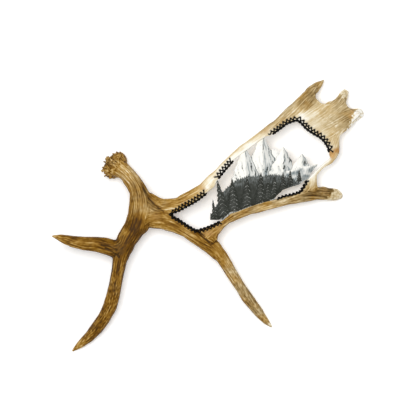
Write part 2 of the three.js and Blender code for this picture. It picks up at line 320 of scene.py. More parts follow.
# How the antler grew: lines that its grain follows
# Stations are (x, y, z, radius, tone). Tone runs from 0, dark brown, to 1, ivory.
# outer is the side that is made darker: -1 left of the line, 1 right, 0 none.
growth = {
    "beam": {
        "outer": 0,
        "stations": [
            (-222, 121, 22, 24, 0.4), (-212.7, 114.2, 29, 22, 0.44), (-199.7, 105.2, 36, 21, 0.52),
            (-186.7, 93.2, 40, 20, 0.54), (-173.7, 78.2, 43, 18, 0.5),
            (-164.7, 58.2, 44.5, 18, 0.45), (-160.7, 34.2, 45, 19, 0.42), (-163.7, 6, 45, 20, 0.41),
            (-172, -26, 45, 21, 0.27), (-186.7, -54.8, 46, 21, 0.15), (-197.7, -77.8, 46, 20, 0.14),
            (-204.7, -101.8, 45, 17, 0.2), (-213.7, -152.8, 40, 15, 0.29),
            (-227.7, -208.8, 31, 16, 0.28), (-257.7, -258.8, 19, 15, 0.28),
            (-278.7, -281.8, 12, 12, 0.31), (-298.7, -298.8, 6.5, 8, 0.38),
            (-314.7, -312.8, 2, 2, 0.48),
        ],
    },
    "brow": {
        "outer": 0,
        "stations": [
            (-193, -62, 46, 18, 0.2), (-216.7, -75.8, 47, 20, 0.27), (-256.7, -65.8, 52, 17, 0.27),
            (-286.7, -63.8, 57, 15, 0.29), (-314.7, -58.8, 63, 12.5, 0.33),
            (-338.7, -51.8, 69, 8.5, 0.39), (-357.7, -46.8, 75, 2, 0.54),
        ],
    },
    "upperRim": {
        "outer": -1,
        "stations": [
            (-172, 102, 40, 8, 0.46), (-158, 82, 42, 9, 0.42), (-147, 58, 44, 11, 0.38),
            (-131, 36, 45, 14, 0.42), (-109.7, 24.2, 45, 16, 0.48), (-70.7, 28.7, 47, 14, 0.55),
            (-38.7, 43.7, 48, 13.5, 0.66), (-11.2, 61.2, 48.6, 12.5, 0.78),
            (13.3, 87.2, 48.9, 12, 0.9), (39.3, 113.2, 48.5, 12, 0.96),
            (64.3, 137.2, 47.5, 12, 0.98), (98.3, 161.7, 45.6, 12.5, 0.98),
            (128.3, 184.7, 43.1, 12.5, 0.86), (156.3, 206.7, 40, 13, 0.72),
            (182.3, 231.2, 35.6, 15, 0.67), (205.3, 253.2, 30, 17, 0.58),
            (226.3, 274.2, 23.5, 17, 0.49), (243.3, 291.2, 17.6, 11.5, 0.49),
            (263.3, 313.2, 9.5, 2, 0.58),
        ],
    },
    "rearTine": {
        "outer": 1,
        "stations": [
            (-178, -58, 45, 8, 0.2), (-164, -36, 45, 10, 0.27), (-147, -16, 45, 13, 0.38),
            (-126, -8, 44, 17, 0.44), (-100.7, -10, 44, 20, 0.46), (-72.7, -19.8, 44, 17, 0.46),
            (-49.7, -33.8, 42.5, 13.5, 0.45), (-26.7, -48.8, 40, 15, 0.44),
            (-7.7, -61.8, 37.5, 18, 0.45), (10.3, -73.8, 36, 18.5, 0.47),
            (28.3, -93.8, 34, 16, 0.46), (46.3, -122.8, 31, 15, 0.48),
            (66.3, -154.8, 26.5, 14.5, 0.48), (89.3, -189.8, 20, 14, 0.47),
            (114.3, -221.8, 12.5, 12, 0.46), (132.3, -243.8, 6, 7, 0.55),
            (142.3, -253.8, 2, 2, 0.66),
        ],
    },
    "lowerRim": {
        "outer": 1,
        "stations": [
            (-4, -46, 41, 11, 0.45), (12, -33, 43, 13, 0.46), (30.3, -19.8, 44, 12, 0.49),
            (60.3, -1.8, 44.8, 10.5, 0.47), (95.3, 12.2, 43.5, 10.5, 0.49),
            (129.3, 23.2, 41.4, 11, 0.53), (164.3, 32.2, 36.8, 11.5, 0.56),
            (198.3, 42.2, 30.5, 12.5, 0.53), (228.3, 50.2, 24.6, 14.5, 0.45),
            (256.3, 51.2, 16.8, 14, 0.4), (281.3, 50.2, 9, 12.5, 0.4), (294, 48.5, 5.4, 11, 0.46),
            (306, 46.2, 2.4, 4, 0.6),
        ],
    },
    "endBridge": {
        "outer": 1,
        "stations": [
            (186, 44, 34, 5, 0.5), (206, 50.5, 31, 8, 0.54), (223, 61, 28, 11.5, 0.62),
            (232.5, 76, 27, 13, 0.8), (238, 95, 29.4, 11.5, 0.97), (251.3, 112.2, 31.4, 11, 0.98),
            (267.3, 126.2, 31, 10.5, 0.97), (281.3, 143.2, 29.6, 10.5, 0.9),
            (290, 161.2, 29, 11, 0.8), (297, 180, 27, 11, 0.7), (306, 198, 23, 10, 0.6),
            (320, 216, 17, 9, 0.5),
        ],
    },
    "middlePoint": {
        "outer": 0,
        "stations": [
            (212, 200, 36, 15, 0.76), (236, 216, 33, 19, 0.82), (260, 231, 29, 21, 0.76),
            (280, 246, 24.5, 20, 0.68), (293.3, 256, 21, 18, 0.62), (303.3, 266.2, 17, 15, 0.57),
            (312.3, 279.2, 12, 10, 0.57), (317.3, 288.2, 9, 3, 0.6),
        ],
    },
    "endPoint": {
        "outer": 0,
        "stations": [
            (246, 182, 32, 15, 0.76), (268, 197, 30, 18, 0.76), (290, 210, 26, 18, 0.68),
            (311, 222, 21, 17, 0.55), (328.3, 231.2, 16, 16, 0.48), (342, 236, 11, 14, 0.56),
            (356.3, 241.2, 5, 5, 0.7),
        ],
    },
}

# (x, y, radius): places where the long grain gives way to short dapples
calmPlaces = [(-140, 4, 30), (-166, -28, 22), (-196, -78, 20), (30, -84, 18)]

# (x, y, radius, strength): rusty stains that the grain has taken up
stains = [
    (284, 141, 13, 1.7), (292, 151, 10, 1.5), (277, 140, 8, 1.3), (329, 232, 7, 0.8),
    (333, 241, 6, 0.7), (268, 60, 9, 0.35), (-16, 63, 9, 0.6), (-52, 35, 12, 0.4),
    (2, -40, 12, 0.55), (24, -31, 12, 0.5), (252, 190, 9, 0.45), (118, 194, 8, 0.3),
    (131, 201, 9, 0.45), (-116, -2, 16, 0.3), (-162, 100, 14, 0.5),
]

# (x, y, radius, change): broad patches that are darker or paler than their limb; some are the bone's
# own colour, some a painted highlight on the lit side of a limb and painted shade in the valley
# between beam and palm
patches = [
    (-144, 64, 13, -0.12), (-133, 36, 12, -0.1), (-121, 14, 13, -0.06), (-162, -16, 19, -0.19),
    (-172, -34, 16, -0.12), (-190, -38, 9, 0.3), (-141, 8, 14, 0.12), (-96, 20, 14, 0.06),
    (-74, 26, 12, 0.08), (-187, 92, 15, -0.02), (-168, 76, 10, -0.04), (-24, -38, 10, -0.12),
    (6, -66, 14, -0.14), (-4, -46, 9, 0.1), (-214, -80, 14, -0.06), (222, 262, 18, -0.1),
    (232, 284, 12, -0.12), (-232, -57, 9, 0.08), (-262, -60, 12, 0.05), (150, 219, 8, -0.12),
    (210, 233, 15, 0.26), (184, 232, 12, -0.03), (-6, 67, 9, 0.16), (2, 80, 11, 0.12),
    (285, 144, 12, -0.1), (-181, -46, 12, -0.06), (-206, -124, 14, -0.05), (-250, -243, 18, -0.03),
    (-171, -14, 8, 0.04), (-226, 124, 15, -0.08), (-192, -38, 7, 0.1), (251, 221, 18, -0.05),
    (221, 55, 14, -0.06), (256, 112, 14, -0.05), (218, 262, 10, -0.08), (4, -50, 12, -0.05),
    (316, 226, 12, -0.1), (245, 232, 14, 0.06), (262, 190, 10, 0.05), (322, 218, 9, -0.12),
    (268, 56, 12, -0.14), (284, 60, 8, -0.16), (240, 50, 14, -0.05),
]

# A weathered end is bare bone beyond the line through at; way points to the tip.
paleEnds = [
    {"at": (336, 234.5), "way": (0.886, -0.464), "reach": 45, "tone": 0.96, "swell": 0.8},
    {"at": (279, 50.5), "way": (0.741, -0.671), "reach": 45, "tone": 0.69, "swell": 1.8},
    {"at": (310, 276), "way": (0.45, 0.89), "reach": 30, "tone": 0.74, "swell": 0.8},
]


# How sharply one growth line gives way to the next, and the least share that one keeps.
handover = {"power": 11, "least": 0.002}


def nearestPlaces(points, places, batch=20000):
    nearest = np.empty(len(points), int)
    for start in range(0, len(points), batch):
        part = points[start : start + batch]
        gaps = (part**2).sum(1)[:, None] - 2 * part @ places.T + (places**2).sum(1)[None, :]
        nearest[start : start + batch] = gaps.argmin(1)
    return nearest


# Each point's place along and across the two nearest growth lines, and how they share it.
def followGrowth(points):
    count = len(points)
    shares, fields = [], []
    for order, line in enumerate(growth.values()):
        path = smoothLine(line["stations"])
        places = path[:, :3]
        nearest = nearestPlaces(points, places)
        tangent = unit(np.gradient(places, axis=0))[nearest]
        offset = points - places[nearest]
        ahead = (offset * tangent).sum(1)
        across = offset - ahead[:, None] * tangent
        side = unit(np.cross(tangent, (0, 0, 1)))
        sideways = (across * side).sum(1)
        radius = path[nearest, 3]
        distance = norms(offset) / radius
        shares.append(1 / (distance ** handover["power"] + handover["least"]))
        fields.append(
            {
                "sideways": sideways,
                "upwards": (across * np.cross(side, tangent)).sum(1),
                "along": runLengths(places)[nearest] + ahead,
                "radius": radius,
                "tone": path[nearest, 4],
                "outward": line["outer"] * sideways / radius,
                "seed": np.full(count, 11.0 * order),
            }
        )
    shares = np.array(shares)
    total = shares.sum(0)
    blend = {
        key: sum(share * field[key] for share, field in zip(shares, fields)) / total
        for key in ("tone", "radius", "outward")
    }
    pick = np.arange(count)
    ranking = np.argsort(-shares, axis=0)[:2]
    pairs = [
        {key: np.stack([field[key] for field in fields])[chosen, pick] for key in fields[0]}
        for chosen in ranking
    ]
    first, second = shares[ranking[0], pick], shares[ranking[1], pick]
    return blend, pairs, first / (first + second)


# Noise that is long along the growth lines and narrow across them.
def grainNoise(pairs, lead, width, length, seed):
    values = [
        fieldNoise(
            np.stack(
                [
                    each["sideways"] / width + each["seed"],
                    each["upwards"] / width,
                    each["along"] / length,
                ],
                1,
            ),
            seed,
        )
        for each in pairs
    ]
    mixed = values[0] * lead + values[1] * (1 - lead)
    return mixed / np.sqrt(lead**2 + (1 - lead) ** 2)


# The bone's solid
# (x, y, way x, way y, keen) of the points' ends; a keen end is drawn to the very place
tipReaches = [
    (-358, -46.5, -1, 0.2, True),
    (-316, -313.2, -0.75, -0.66, True),
    (147, -257.6, 0.72, -0.7, True),
    (266.6, 316, 0.6, 0.8, True),
    (318, 291.5, 0.35, 0.94, False),
    (359, 241, 1, 0, False),
    (308.5, 46, 1, 0, False),
]

# How far off a tip is looked for, how far back its pull fades and how far off it ends.
tipPull = {"search": 24, "fade": 32, "limit": 40}

# (line along the outline, shift x, shift y, reach): trues the outline where the smooth
# sweep left it full or scant
outlineShifts = [
    (((-345, -52), (-240, -58)), 0, 2, 18),
    (((-184, 30), (-186, -6), (-206, -44)), -3.3, 1.2, 16),
    (((-166, -66), (-150, -46)), -2.8, 2, 11),
    (((-140, -32), (-118, -25)), 0.8, -1.6, 9),
    (((-233, 88), (-206, 82)), 3, 2, 10),
    (((-90, -34), (-40, -58)), -1.3, -2.6, 14),
    (((-60, 50), (-24, 70), (0, 90)), -1.3, 2.1, 12),
    (((34, 118), (72, 152)), -0.9, 0.9, 11),
    (((76, 162), (136, 210)), -1.5, 2, 14),
    (((192, 264), (216, 288)), 2.4, -1.8, 13),
    (((228, 294), (246, 306)), -1.4, 2, 10),
    (((246, 274), (256, 262), (272, 260)), 1.6, 5.6, 11),
    (((282, 262), (300, 274)), 0.8, -1.4, 8),
    (((306, 256), (322, 248)), 2.4, 4.4, 10),
    (((280, 128), (294, 146)), 5.4, -3.3, 12),
    (((306, 190), (330, 214)), 2, -0.8, 12),
    (((334, 244), (340, 242)), 3, -0.6, 9),
    (((246, 80), (262, 68)), 1.4, 3.4, 11),
    (((272, 64), (296, 58)), 0.3, 1.8, 10),
    (((204, 31), (232, 37)), 0.5, -2.2, 12),
    (((27, -46), (36, -38), (50, -22)), -3, 2.8, 9),
    (((16, -55), (23, -68)), 1.8, 0, 7),
    (((58, -16), (96, 0)), -0.8, 1.6, 12),
    (((20, -112), (60, -172)), 2.4, 1.6, 13),
    (((68, -184), (110, -244)), 0.9, 0.6, 12),
    (((62, -124), (88, -162)), -1, -0.7, 12),
    (((-262, -268), (-222, -236)), -1, 0.6, 11),
]

boneNodes = ["beam", "brow_branch", "brow_tine", "long_brow_tine", "palm", "rear_tine"]

laceEdges = {
    "lowerLeft": [
        (12.1, 67.2), (-9.9, 50.2), (-33, 33.1), (-58.1, 19.1), (-78.2, 8.8), (-83.2, 4.2),
        (-78.7, -0.8), (-70, -6.7), (-49, -20.7), (-31.1, -31.6), (-24.9, -32.5), (-6.1, -26.6),
        (13.8, -18.6), (29.7, -10.6),
    ],
    "slot": [
        (156.8, 40.4), (172.8, 47.4), (190.9, 53.4), (208.6, 58.3), (216.2, 69.9), (226.2, 84),
    ],
    "top": [
        (280, 146.9), (277.1, 158.6), (266.3, 173.3), (256.6, 183.1), (248.5, 191.2),
        (227.5, 205.2), (218.4, 216.2), (206.9, 223.9), (194.7, 222.9), (175.9, 215.1),
        (160.1, 204.2), (138.1, 187.2),
    ],
    "upper": [(66.3, 132.4), (60.4, 125), (50.3, 112.4), (36.3, 97.3), (28.3, 87.8), (22.3, 80.7)],
}
# How far each place of a laced edge stands back from the solid's edge, to suit the cord.
edgeMoves = {
    "lowerLeft": [-0.7, -0.7, -0.7, -0.7, 0.6, 4.6, 3, 1.2, 1.2, 1.2, 1.2, 1.2, 1.2, 1.2],
    "slot": [1.6, 2.2, 4, 4.6, 3.4, 1.6],
    "top": [-3, -0.6, 0.4, -0.6, -4, -4.3, -4.2, -2.8, -3, -3.3, -4.4, -3.4],
    "upper": [2, 4.6, 5.4, 5.2, 5, 3],
}


# The outline moved to the right of its travel.
def movedRight(outline, distances):
    table = np.array(outline, float)
    return (table + np.array(distances)[:, None] * rightOf(table)).tolist()


lacedRuns = {key: movedRight(outline, edgeMoves[key]) for key, outline in laceEdges.items()}
openingOutline = [
    *lacedRuns["lowerLeft"],
    (49.3, 5.2), (68.3, 11.2), (95.3, 22.2), (120.3, 30.2), (142.3, 36.2),
    *lacedRuns["slot"],
    (237.3, 94.2), (251.3, 108.2), (265.3, 124.2), (276.3, 136.2),
    *lacedRuns["top"],
    (119.3, 174.2), (95.3, 156.2),
    *lacedRuns["upper"],
]

bone = {
    "voxel": 1.0,
    "swell": 0.45,
    "smoothing": 40,
    # stiffness is the share of the relaxing that reaches the burr's knobs and the keen tips;
    # the rest fades in with distance from the burr's middle, up the beam and from the tip
    "stiffness": 0.12,
    "fadeFromBurr": (36, 50),
    "fadeUpBeam": (1, 8),
    "fadeFromTip": (5, 34),
    "keenTip": 6,
    "furrows": [
        {
            "line": ((-160, 88), (-149, 66), (-139, 46), (-124, 25), (-104, 12)),
            "width": 5,
            "depth": 2.4,
        },
        {"line": ((-26, -32), (-10, -49), (5, -65), (20, -57)), "width": 3.2, "depth": 1.6},
        {"line": ((-245, -66), (-228, -69), (-212, -77)), "width": 2.2, "depth": 1.8},
        {"line": ((-236, -74), (-222, -81), (-206, -93)), "width": 2.2, "depth": 1.5},
        {"line": ((-186, 118), (-196, 126), (-201, 132)), "width": 2.5, "depth": 1.0},
    ],
}

burr = {
    "centre": (-213.5, 113.6, 29.3),
    "axis": (0.68, -0.46, 0.55),
    "ringRadius": 29.6,
    "seed": 5,
    "pearlReach": 62,
    "pearlSize": 6.5,
    # how far each knob may differ in place along its ring, size, place and length
    "knobs": {
        "count": 34,
        "shift": (-0.3, 0.3),
        "radius": (2.6, 5.2),
        "out": (-2.5, 2),
        "along": (-10, 1),
        "length": (1.2, 2.0),
    },
    "spikes": {
        "count": 46,
        "radius": (1.4, 2.4),
        "lean": (0.1, 1.6),
        "along": (-13, -2),
        "out": (-3, 1.5),
        "length": (1.8, 3),
    },
}


def evaluatedMesh(thing):
    bpy.context.view_layer.update()
    graph = bpy.context.evaluated_depsgraph_get()
    return bpy.data.meshes.new_from_object(thing.evaluated_get(graph))


def discard(thing):
    bpy.data.objects.remove(thing, do_unlink=True)


# The mesh that a working object's modifiers make; the object itself goes.
def takeMesh(thing):
    mesh = evaluatedMesh(thing)
    discard(thing)
    return mesh


def addModifier(thing, kind, **settings):
    modifier = thing.modifiers.new(kind.lower(), kind)
    for name, value in settings.items():
        setattr(modifier, name, value)


def dropVerts(bm, verts):
    bmesh.ops.delete(bm, geom=verts, context="VERTS")


# How the drawing in of a rim fades with depth and past the run's ends, and where it starts.
rimDraw = {"depth": (1, 17), "side": (1, 9), "forward": -4, "margin": 20}


# Draws the rim in where the laced edge stands forward of the solid's.
def drawRimIn(mesh):
    margin = rimDraw["margin"]
    points = vertexTable(mesh)
    for key, outline in laceEdges.items():
        table = np.array(outline)
        moves = np.minimum(edgeMoves[key], 0)
        path = smoothLine(np.column_stack([table, moves]), 1.0, places=2)
        right = rightOf(path[:, :2])
        low, high = table.min(0) - margin, table.max(0) + margin
        flat = points[:, :2]
        near = np.flatnonzero(((flat > low) & (flat < high)).all(1))
        offset = flat[near][:, None] - path[None, ::3, :2]
        closest = np.linalg.norm(offset, axis=2).argmin(1) * 3
        offset = flat[near] - path[closest, :2]
        depth = (offset * right[closest]).sum(1)
        side = norms(offset - depth[:, None] * right[closest])
        share = (1 - ramp(depth, *rimDraw["depth"])) * (depth > rimDraw["forward"])
        share = share * (1 - ramp(side, *rimDraw["side"]))
        points[near, :2] += (share * path[closest, 2])[:, None] * right[closest]
    setVertices(mesh, points)
    return mesh


def outlinePrism(name, outline, low, high):
    bm = bmesh.new()
    corners = [bm.verts.new(Vector((x, y, low)) * millimetre) for x, y in outline]
    base = bm.faces.new(corners)
    raised = bmesh.ops.extrude_face_region(bm, geom=[base], use_keep_orig=True)
    lifted = [each for each in raised["geom"] if isinstance(each, bmesh.types.BMVert)]
    bmesh.ops.translate(bm, verts=lifted, vec=(0, 0, (high - low) * millimetre))
    bmesh.ops.recalc_face_normals(bm, faces=bm.faces)
    return newObject(name, meshFromBmesh(name, bm, smooth=False))


# The palm without its carving, so that finer work can stand in the opening.
def openPalm():
    bm = bmesh.new()
    bm.from_mesh(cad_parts["palm"].data)
    bmesh.ops.remove_doubles(bm, verts=bm.verts, dist=mergeGap)
    palm = newObject("openPalm", meshFromBmesh("openPalm", bm))
    opening = outlinePrism("opening", openingOutline, low=-50, high=130)
    addModifier(palm, "BOOLEAN", operation="DIFFERENCE", solver="EXACT", object=opening)
    mesh = takeMesh(palm)
    discard(opening)
    return mesh


def addKnob(bm, place, way, size, length):
    turn = way.to_track_quat("Z", "Y").to_matrix().to_4x4()
    shape = Matrix.Diagonal((size, size, size * length, 1))
    where = Matrix.Translation(place * millimetre) @ turn @ shape
    bmesh.ops.create_icosphere(bm, subdivisions=2, radius=millimetre, matrix=where)


def addBurrKnobs(bm):
    pick = random.Random(burr["seed"])
    centre, axis = Vector(burr["centre"]), Vector(burr["axis"]).normalized()
    sideways = axis.cross((0, 0, 1)).normalized()
    upright = sideways.cross(axis)
    knobs, spikes = burr["knobs"], burr["spikes"]
    for i in range(knobs["count"]):
        angle = 2 * math.pi * (i + pick.uniform(*knobs["shift"])) / knobs["count"]
        size = pick.uniform(*knobs["radius"])
        out = burr["ringRadius"] + pick.uniform(*knobs["out"])
        place = centre + axis * pick.uniform(*knobs["along"])
        place += (sideways * math.cos(angle) + upright * math.sin(angle)) * out
        addKnob(bm, place, axis, size, pick.uniform(*knobs["length"]))
    for _ in range(spikes["count"]):
        angle = pick.uniform(0, 2 * math.pi)
        size = pick.uniform(*spikes["radius"])
        radial = sideways * math.cos(angle) + upright * math.sin(angle)
        way = (radial - axis * pick.uniform(*spikes["lean"])).normalized()
        place = centre + axis * pick.uniform(*spikes["along"])
        place += radial * (burr["ringRadius"] + pick.uniform(*spikes["out"])) + way * size
        addKnob(bm, place, way, size, pick.uniform(*spikes["length"]))


def wholeBone():
    bm = bmesh.new()
    for name in boneNodes:
        bm.from_mesh(openPalm() if name == "palm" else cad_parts[name].data)
    bmesh.ops.remove_doubles(bm, verts=bm.verts, dist=mergeGap)
    bm.normal_update()
    for vert in bm.verts:
        vert.co += vert.normal * bone["swell"] * millimetre
    addBurrKnobs(bm)
    raw = newObject("rawBone", meshFromBmesh("rawBone", bm))
    addModifier(raw, "REMESH", mode="VOXEL", voxel_size=bone["voxel"] * millimetre)
    return takeMesh(raw)


def vertexTable(mesh):
    table = np.empty(len(mesh.vertices) * 3)
    mesh.vertices.foreach_get("co", table)
    return table.reshape(-1, 3) / millimetre


def normalTable(mesh):
    table = np.empty(len(mesh.vertices) * 3)
    mesh.vertex_normals.foreach_get("vector", table)
    return table.reshape(-1, 3)


def setVertices(mesh, table):
    mesh.vertices.foreach_set("co", (table * millimetre).ravel())
    mesh.update()


def addMeasure(mesh, name, values):
    mesh.attributes.new(name, "FLOAT", "POINT").data.foreach_set("value", values)


def addPlaces(mesh, name, table):
    data = mesh.attributes.new(name, "FLOAT_VECTOR", "POINT").data
    data.foreach_set("vector", np.ascontiguousarray(table).ravel())


# Each point's distance from the burr's middle, and how far it stands up the beam from it.
def burrPlaces(points):
    offset = points - np.array(burr["centre"])
    axis = np.array(burr["axis"])
    return norms(offset), offset @ axis / np.linalg.norm(axis)


# Relaxes the whole bone but keeps the knobs on the burr and the reach of the tips.
def relax(mesh):
    points = vertexTable(mesh)
    fromBurr, pastBurr = burrPlaces(points)
    thing = newObject("relaxing", mesh)
    group = thing.vertex_groups.new(name="relax")
    stiff = bone["stiffness"]
    clear = np.maximum(
        ramp(fromBurr, *bone["fadeFromBurr"]), ramp(pastBurr, *bone["fadeUpBeam"])
    )
    weights = stiff + (1 - stiff) * clear
    for line in growth.values():
        *tip, radius, _ = line["stations"][-1]
        if radius < bone["keenTip"]:
            fromTip = norms(points - tip)
            weights *= stiff + (1 - stiff) * ramp(fromTip, *bone["fadeFromTip"])
    for level in np.unique(np.round(weights, 1)):
        chosen = np.flatnonzero(np.round(weights, 1) == level).tolist()
        group.add(chosen, float(min(level, 1)), "REPLACE")
    rounds = bone["smoothing"]
    addModifier(thing, "SMOOTH", factor=0.5, iterations=rounds, vertex_group="relax")
    return takeMesh(thing)


# Stretches each point back to its full reach after the relaxing.
def reachTips(mesh):
    points = vertexTable(mesh)
    for x, y, wayX, wayY, keen in tipReaches:
        way = np.array((wayX, wayY)) / math.hypot(wayX, wayY)
        offset = points[:, :2] - (x, y)
        gap = norms(offset)
        ahead = offset @ way
        close = np.flatnonzero(gap < tipPull["search"])
        foremost = close[ahead[close].argmax()]
        pull = -offset[foremost] if keen else -ahead[foremost] * way
        share = (1 - ramp(-ahead, 0, tipPull["fade"])) * (gap < tipPull["limit"])
        points[:, :2] += share[:, None] * pull
    setVertices(mesh, points)
    return mesh


def distanceToLine(points, line):
    best = np.full(len(points), 1e9)
    for (ax, ay), (bx, by) in zip(line, line[1:]):
        span = np.array((bx - ax, by - ay), float)
        offset = points[:, :2] - (ax, ay)
        share = np.clip((offset @ span) / (span @ span), 0, 1)
        best = np.minimum(best, norms(offset - share[:, None] * span))
    return best


# Moves the skin by the outline's shifts, each of which dies away over its reach.
def trueOutline(mesh):
    points = vertexTable(mesh)
    moved = np.zeros((len(points), 2))
    for line, shiftX, shiftY, reach in outlineShifts:
        share = np.exp(-((distanceToLine(points, line) / reach) ** 2))
        moved += share[:, None] * (shiftX, shiftY)
    points[:, :2] += moved
    setVertices(mesh, points)
    return mesh


def pearls(points, size):
    heights = np.array([noise.voronoi(place)[0][0] for place in (points / size).tolist()])
    return np.clip(1 - heights / 0.62, 0, 1) ** 0.7


# Hollows are positive and ridges negative, in millimetres below the smoothed surface.
def hollows(mesh, points, normals, rounds=8):
    edges = np.empty(len(mesh.edges) * 2, int)
    mesh.edges.foreach_get("vertices", edges)
    a, b = edges.reshape(-1, 2).T
    count = len(points)
    degree = np.bincount(a, minlength=count) + np.bincount(b, minlength=count)
    relaxed = points.copy()
    for _ in range(rounds):
        summed = np.stack(
            [
                np.bincount(a, relaxed[b, k], count) + np.bincount(b, relaxed[a, k], count)
                for k in range(3)
            ],
            1,
        )
        relaxed = summed / degree[:, None]
    return ((relaxed - points) * normals).sum(1)


def paleEndShare(points, wander):
    share, tone, swell = np.zeros((3, len(points)))
    for end in paleEnds:
        offset = points[:, :2] - end["at"]
        near = norms(offset) < end["reach"]
        beyond = offset @ np.array(end["way"])
        here = near * ramp(beyond + 5 * wander, -1.2, 1.2)
        share = np.maximum(share, here)
        tone[here > 0] = end["tone"]
        swell = np.maximum(swell, end["swell"] * near * ramp(beyond, -12, 8))
    return share, tone, swell


# (width across the growth, length along it, seed) of each grain
grainKinds = {
    "broad": (9, 90, 1),
    "seams": (5.0, 55, 2),
    "fine": (2.5, 36, 3),
    "speckle": (2.7, 7, 4),
    "thread": (1.3, 16, 7),
    "dapple": (3.4, 6, 8),
}


# What the smooth skin is like at each point, before anything is carved in it.
def readSkin(points, normals):
    blend, pairs, lead = followGrowth(points)
    grains = {name: grainNoise(pairs, lead, *kind) for name, kind in grainKinds.items()}
    skin = SimpleNamespace(tone=blend["tone"], outward=blend["outward"], line=pairs[0], **grains)
    skin.parting = np.sqrt(skin.seams**2 + 0.01)
    skin.mottle = fieldNoise(points / 16, 4)
    skin.ragged = fieldNoise(points / 5, 6)
    skin.roughness = 1 - ramp(blend["tone"], 0.55, 0.92)
    skin.polish = ramp(blend["radius"], 3, 13)
    skin.bare, skin.bareTone, skin.swell = paleEndShare(points, skin.ragged + skin.mottle)
    skin.calm = np.zeros(len(points))
    for spot in calmPlaces:
        gap = fromSpot(points, *spot) + 0.4 * skin.mottle
        skin.calm = np.maximum(skin.calm, np.exp(-(gap**2)))
    reach = burr["pearlReach"]
    fromBurr, pastBurr = burrPlaces(points)
    skin.nearBurr = (1 - ramp(fromBurr, 40, reach)) * (1 - 0.85 * ramp(pastBurr, -1, 7))
    skin.bumps = np.zeros(len(points))
    close = np.flatnonzero(fromBurr < reach)
    skin.bumps[close] = pearls(points[close], burr["pearlSize"])
    skin.upward = ramp(normals[:, 2], 0.1, 0.6)
    # Faces that turn sideways, where the tone is darkened as painted shade.
    skin.flank = 1 - ramp(np.abs(normals[:, 2]), 0.12, 0.72)
    return skin


# How far each point rises, and its share in a furrow.
def boneRelief(points, skin):
    depth = (0.12 + 0.55 * skin.roughness) * (0.25 + 0.75 * skin.polish) * (1 - 0.6 * skin.calm)
    ridge = 1 - skin.parting * 2.4
    height = skin.swell - 0.8 * depth * ridge + 0.5 * skin.roughness * skin.broad
    threads = (0.14 * skin.fine + 0.1 * skin.speckle) * (0.3 + skin.roughness)
    height += threads + 0.5 * skin.bare * skin.ragged
    height += skin.nearBurr * (1.5 * skin.bumps - 0.5)
    furrow = np.zeros(len(points))
    for each in bone["furrows"]:
        gap = distanceToLine(points, each["line"]) + 2.5 * skin.mottle
        share = np.exp(-((gap / each["width"]) ** 2)) * skin.upward
        height -= each["depth"] * share
        furrow = np.maximum(furrow, share)
    return height, furrow


def boneTone(points, skin, furrow):
    tone = skin.tone.copy()
    # Patches of the bone's own colour and of painted highlight and shade, strongest on faces that
    # look up.
    for *spot, change in patches:
        gap = fromSpot(points, *spot) + 0.5 * skin.mottle
        tone += change * np.exp(-(gap**2)) * (0.4 + 0.6 * skin.upward)
    # The outer side of a rim is darker where its tone is pale.
    outer = ramp(skin.outward, 0.4, 1.0)
    tone -= 0.2 * outer * ramp(tone, 0.5, 0.7)
    # Painted shade: the sideways faces are darker, more where the bone is rough and most on the
    # outer side.
    tone -= skin.flank * (0.03 + 0.06 * skin.roughness + 0.2 * ramp(skin.outward, 0.3, 0.9))
    # On the rear tine the sideways faces take back some of that painted shade.
    rearward = ramp(-points[:, 1], 110, 170) * (points[:, 0] > 0)
    # The furrows are darker as well: painted shade in the crease.
    tone += 0.12 * skin.flank * rearward - 0.14 * furrow
    tone += 0.06 * skin.mottle
    # Bare ends: the bare bone's tone with ragged weathering, and painted shade on their sideways
    # faces.
    weatheredAndShaded = skin.bareTone + 0.16 * skin.ragged - 0.2 * skin.flank
    return tone * (1 - skin.bare) + skin.bare * weatheredAndShaded


def boneStreak(points, skin):
    tineward = ramp(-points[:, 1], 80, 140)
    crack = 1 - ramp(skin.parting, 0.1, 0.36)
    streak = 0.14 * skin.broad + (0.3 - 0.14 * tineward) * skin.fine - 0.11 * crack
    streak += (0.14 + 0.16 * tineward) * skin.speckle
    streak *= 0.3 + 0.7 * skin.roughness * (1 - skin.bare)
    streak = streak * (1 - 0.6 * skin.calm) + 0.13 * skin.calm * skin.dapple
    # Near the burr the pearls' tops are paler and the skin between them darker: partly worn tips,
    # partly painted highlight on the tops and painted shade at their feet.
    streak += skin.nearBurr * (0.3 * skin.bumps - 0.12)
    plate = ramp(points[:, 0], 130, 200) * ramp(points[:, 1], 130, 190)
    return streak * (1 - 0.35 * plate) + 0.09 * plate * skin.thread * (1 - skin.bare)


def boneWarmth(points, skin):
    warmth = 1 - 0.74 * ramp(points[:, 0] + 30 * skin.mottle, 0, 170)
    warmth *= 1 - 0.5 * ramp(-points[:, 1], 90, 150) * (points[:, 0] > 0)
    warmth -= 0.3 * ramp(points[:, 1], -20, 40) * ramp(-points[:, 0], 60, 120)
    return warmth * (1 - skin.bare)


def boneStain(points, skin):
    stain = np.zeros(len(points))
    for *spot, strength in stains:
        gap = fromSpot(points, *spot) + 0.8 * skin.mottle
        stain = np.maximum(stain, strength * (1 - ramp(gap, 0.2, 1.2)))
    return stain * (0.6 + 0.8 * np.clip(skin.fine + 0.3, 0, 1)) * (1 - skin.bare)


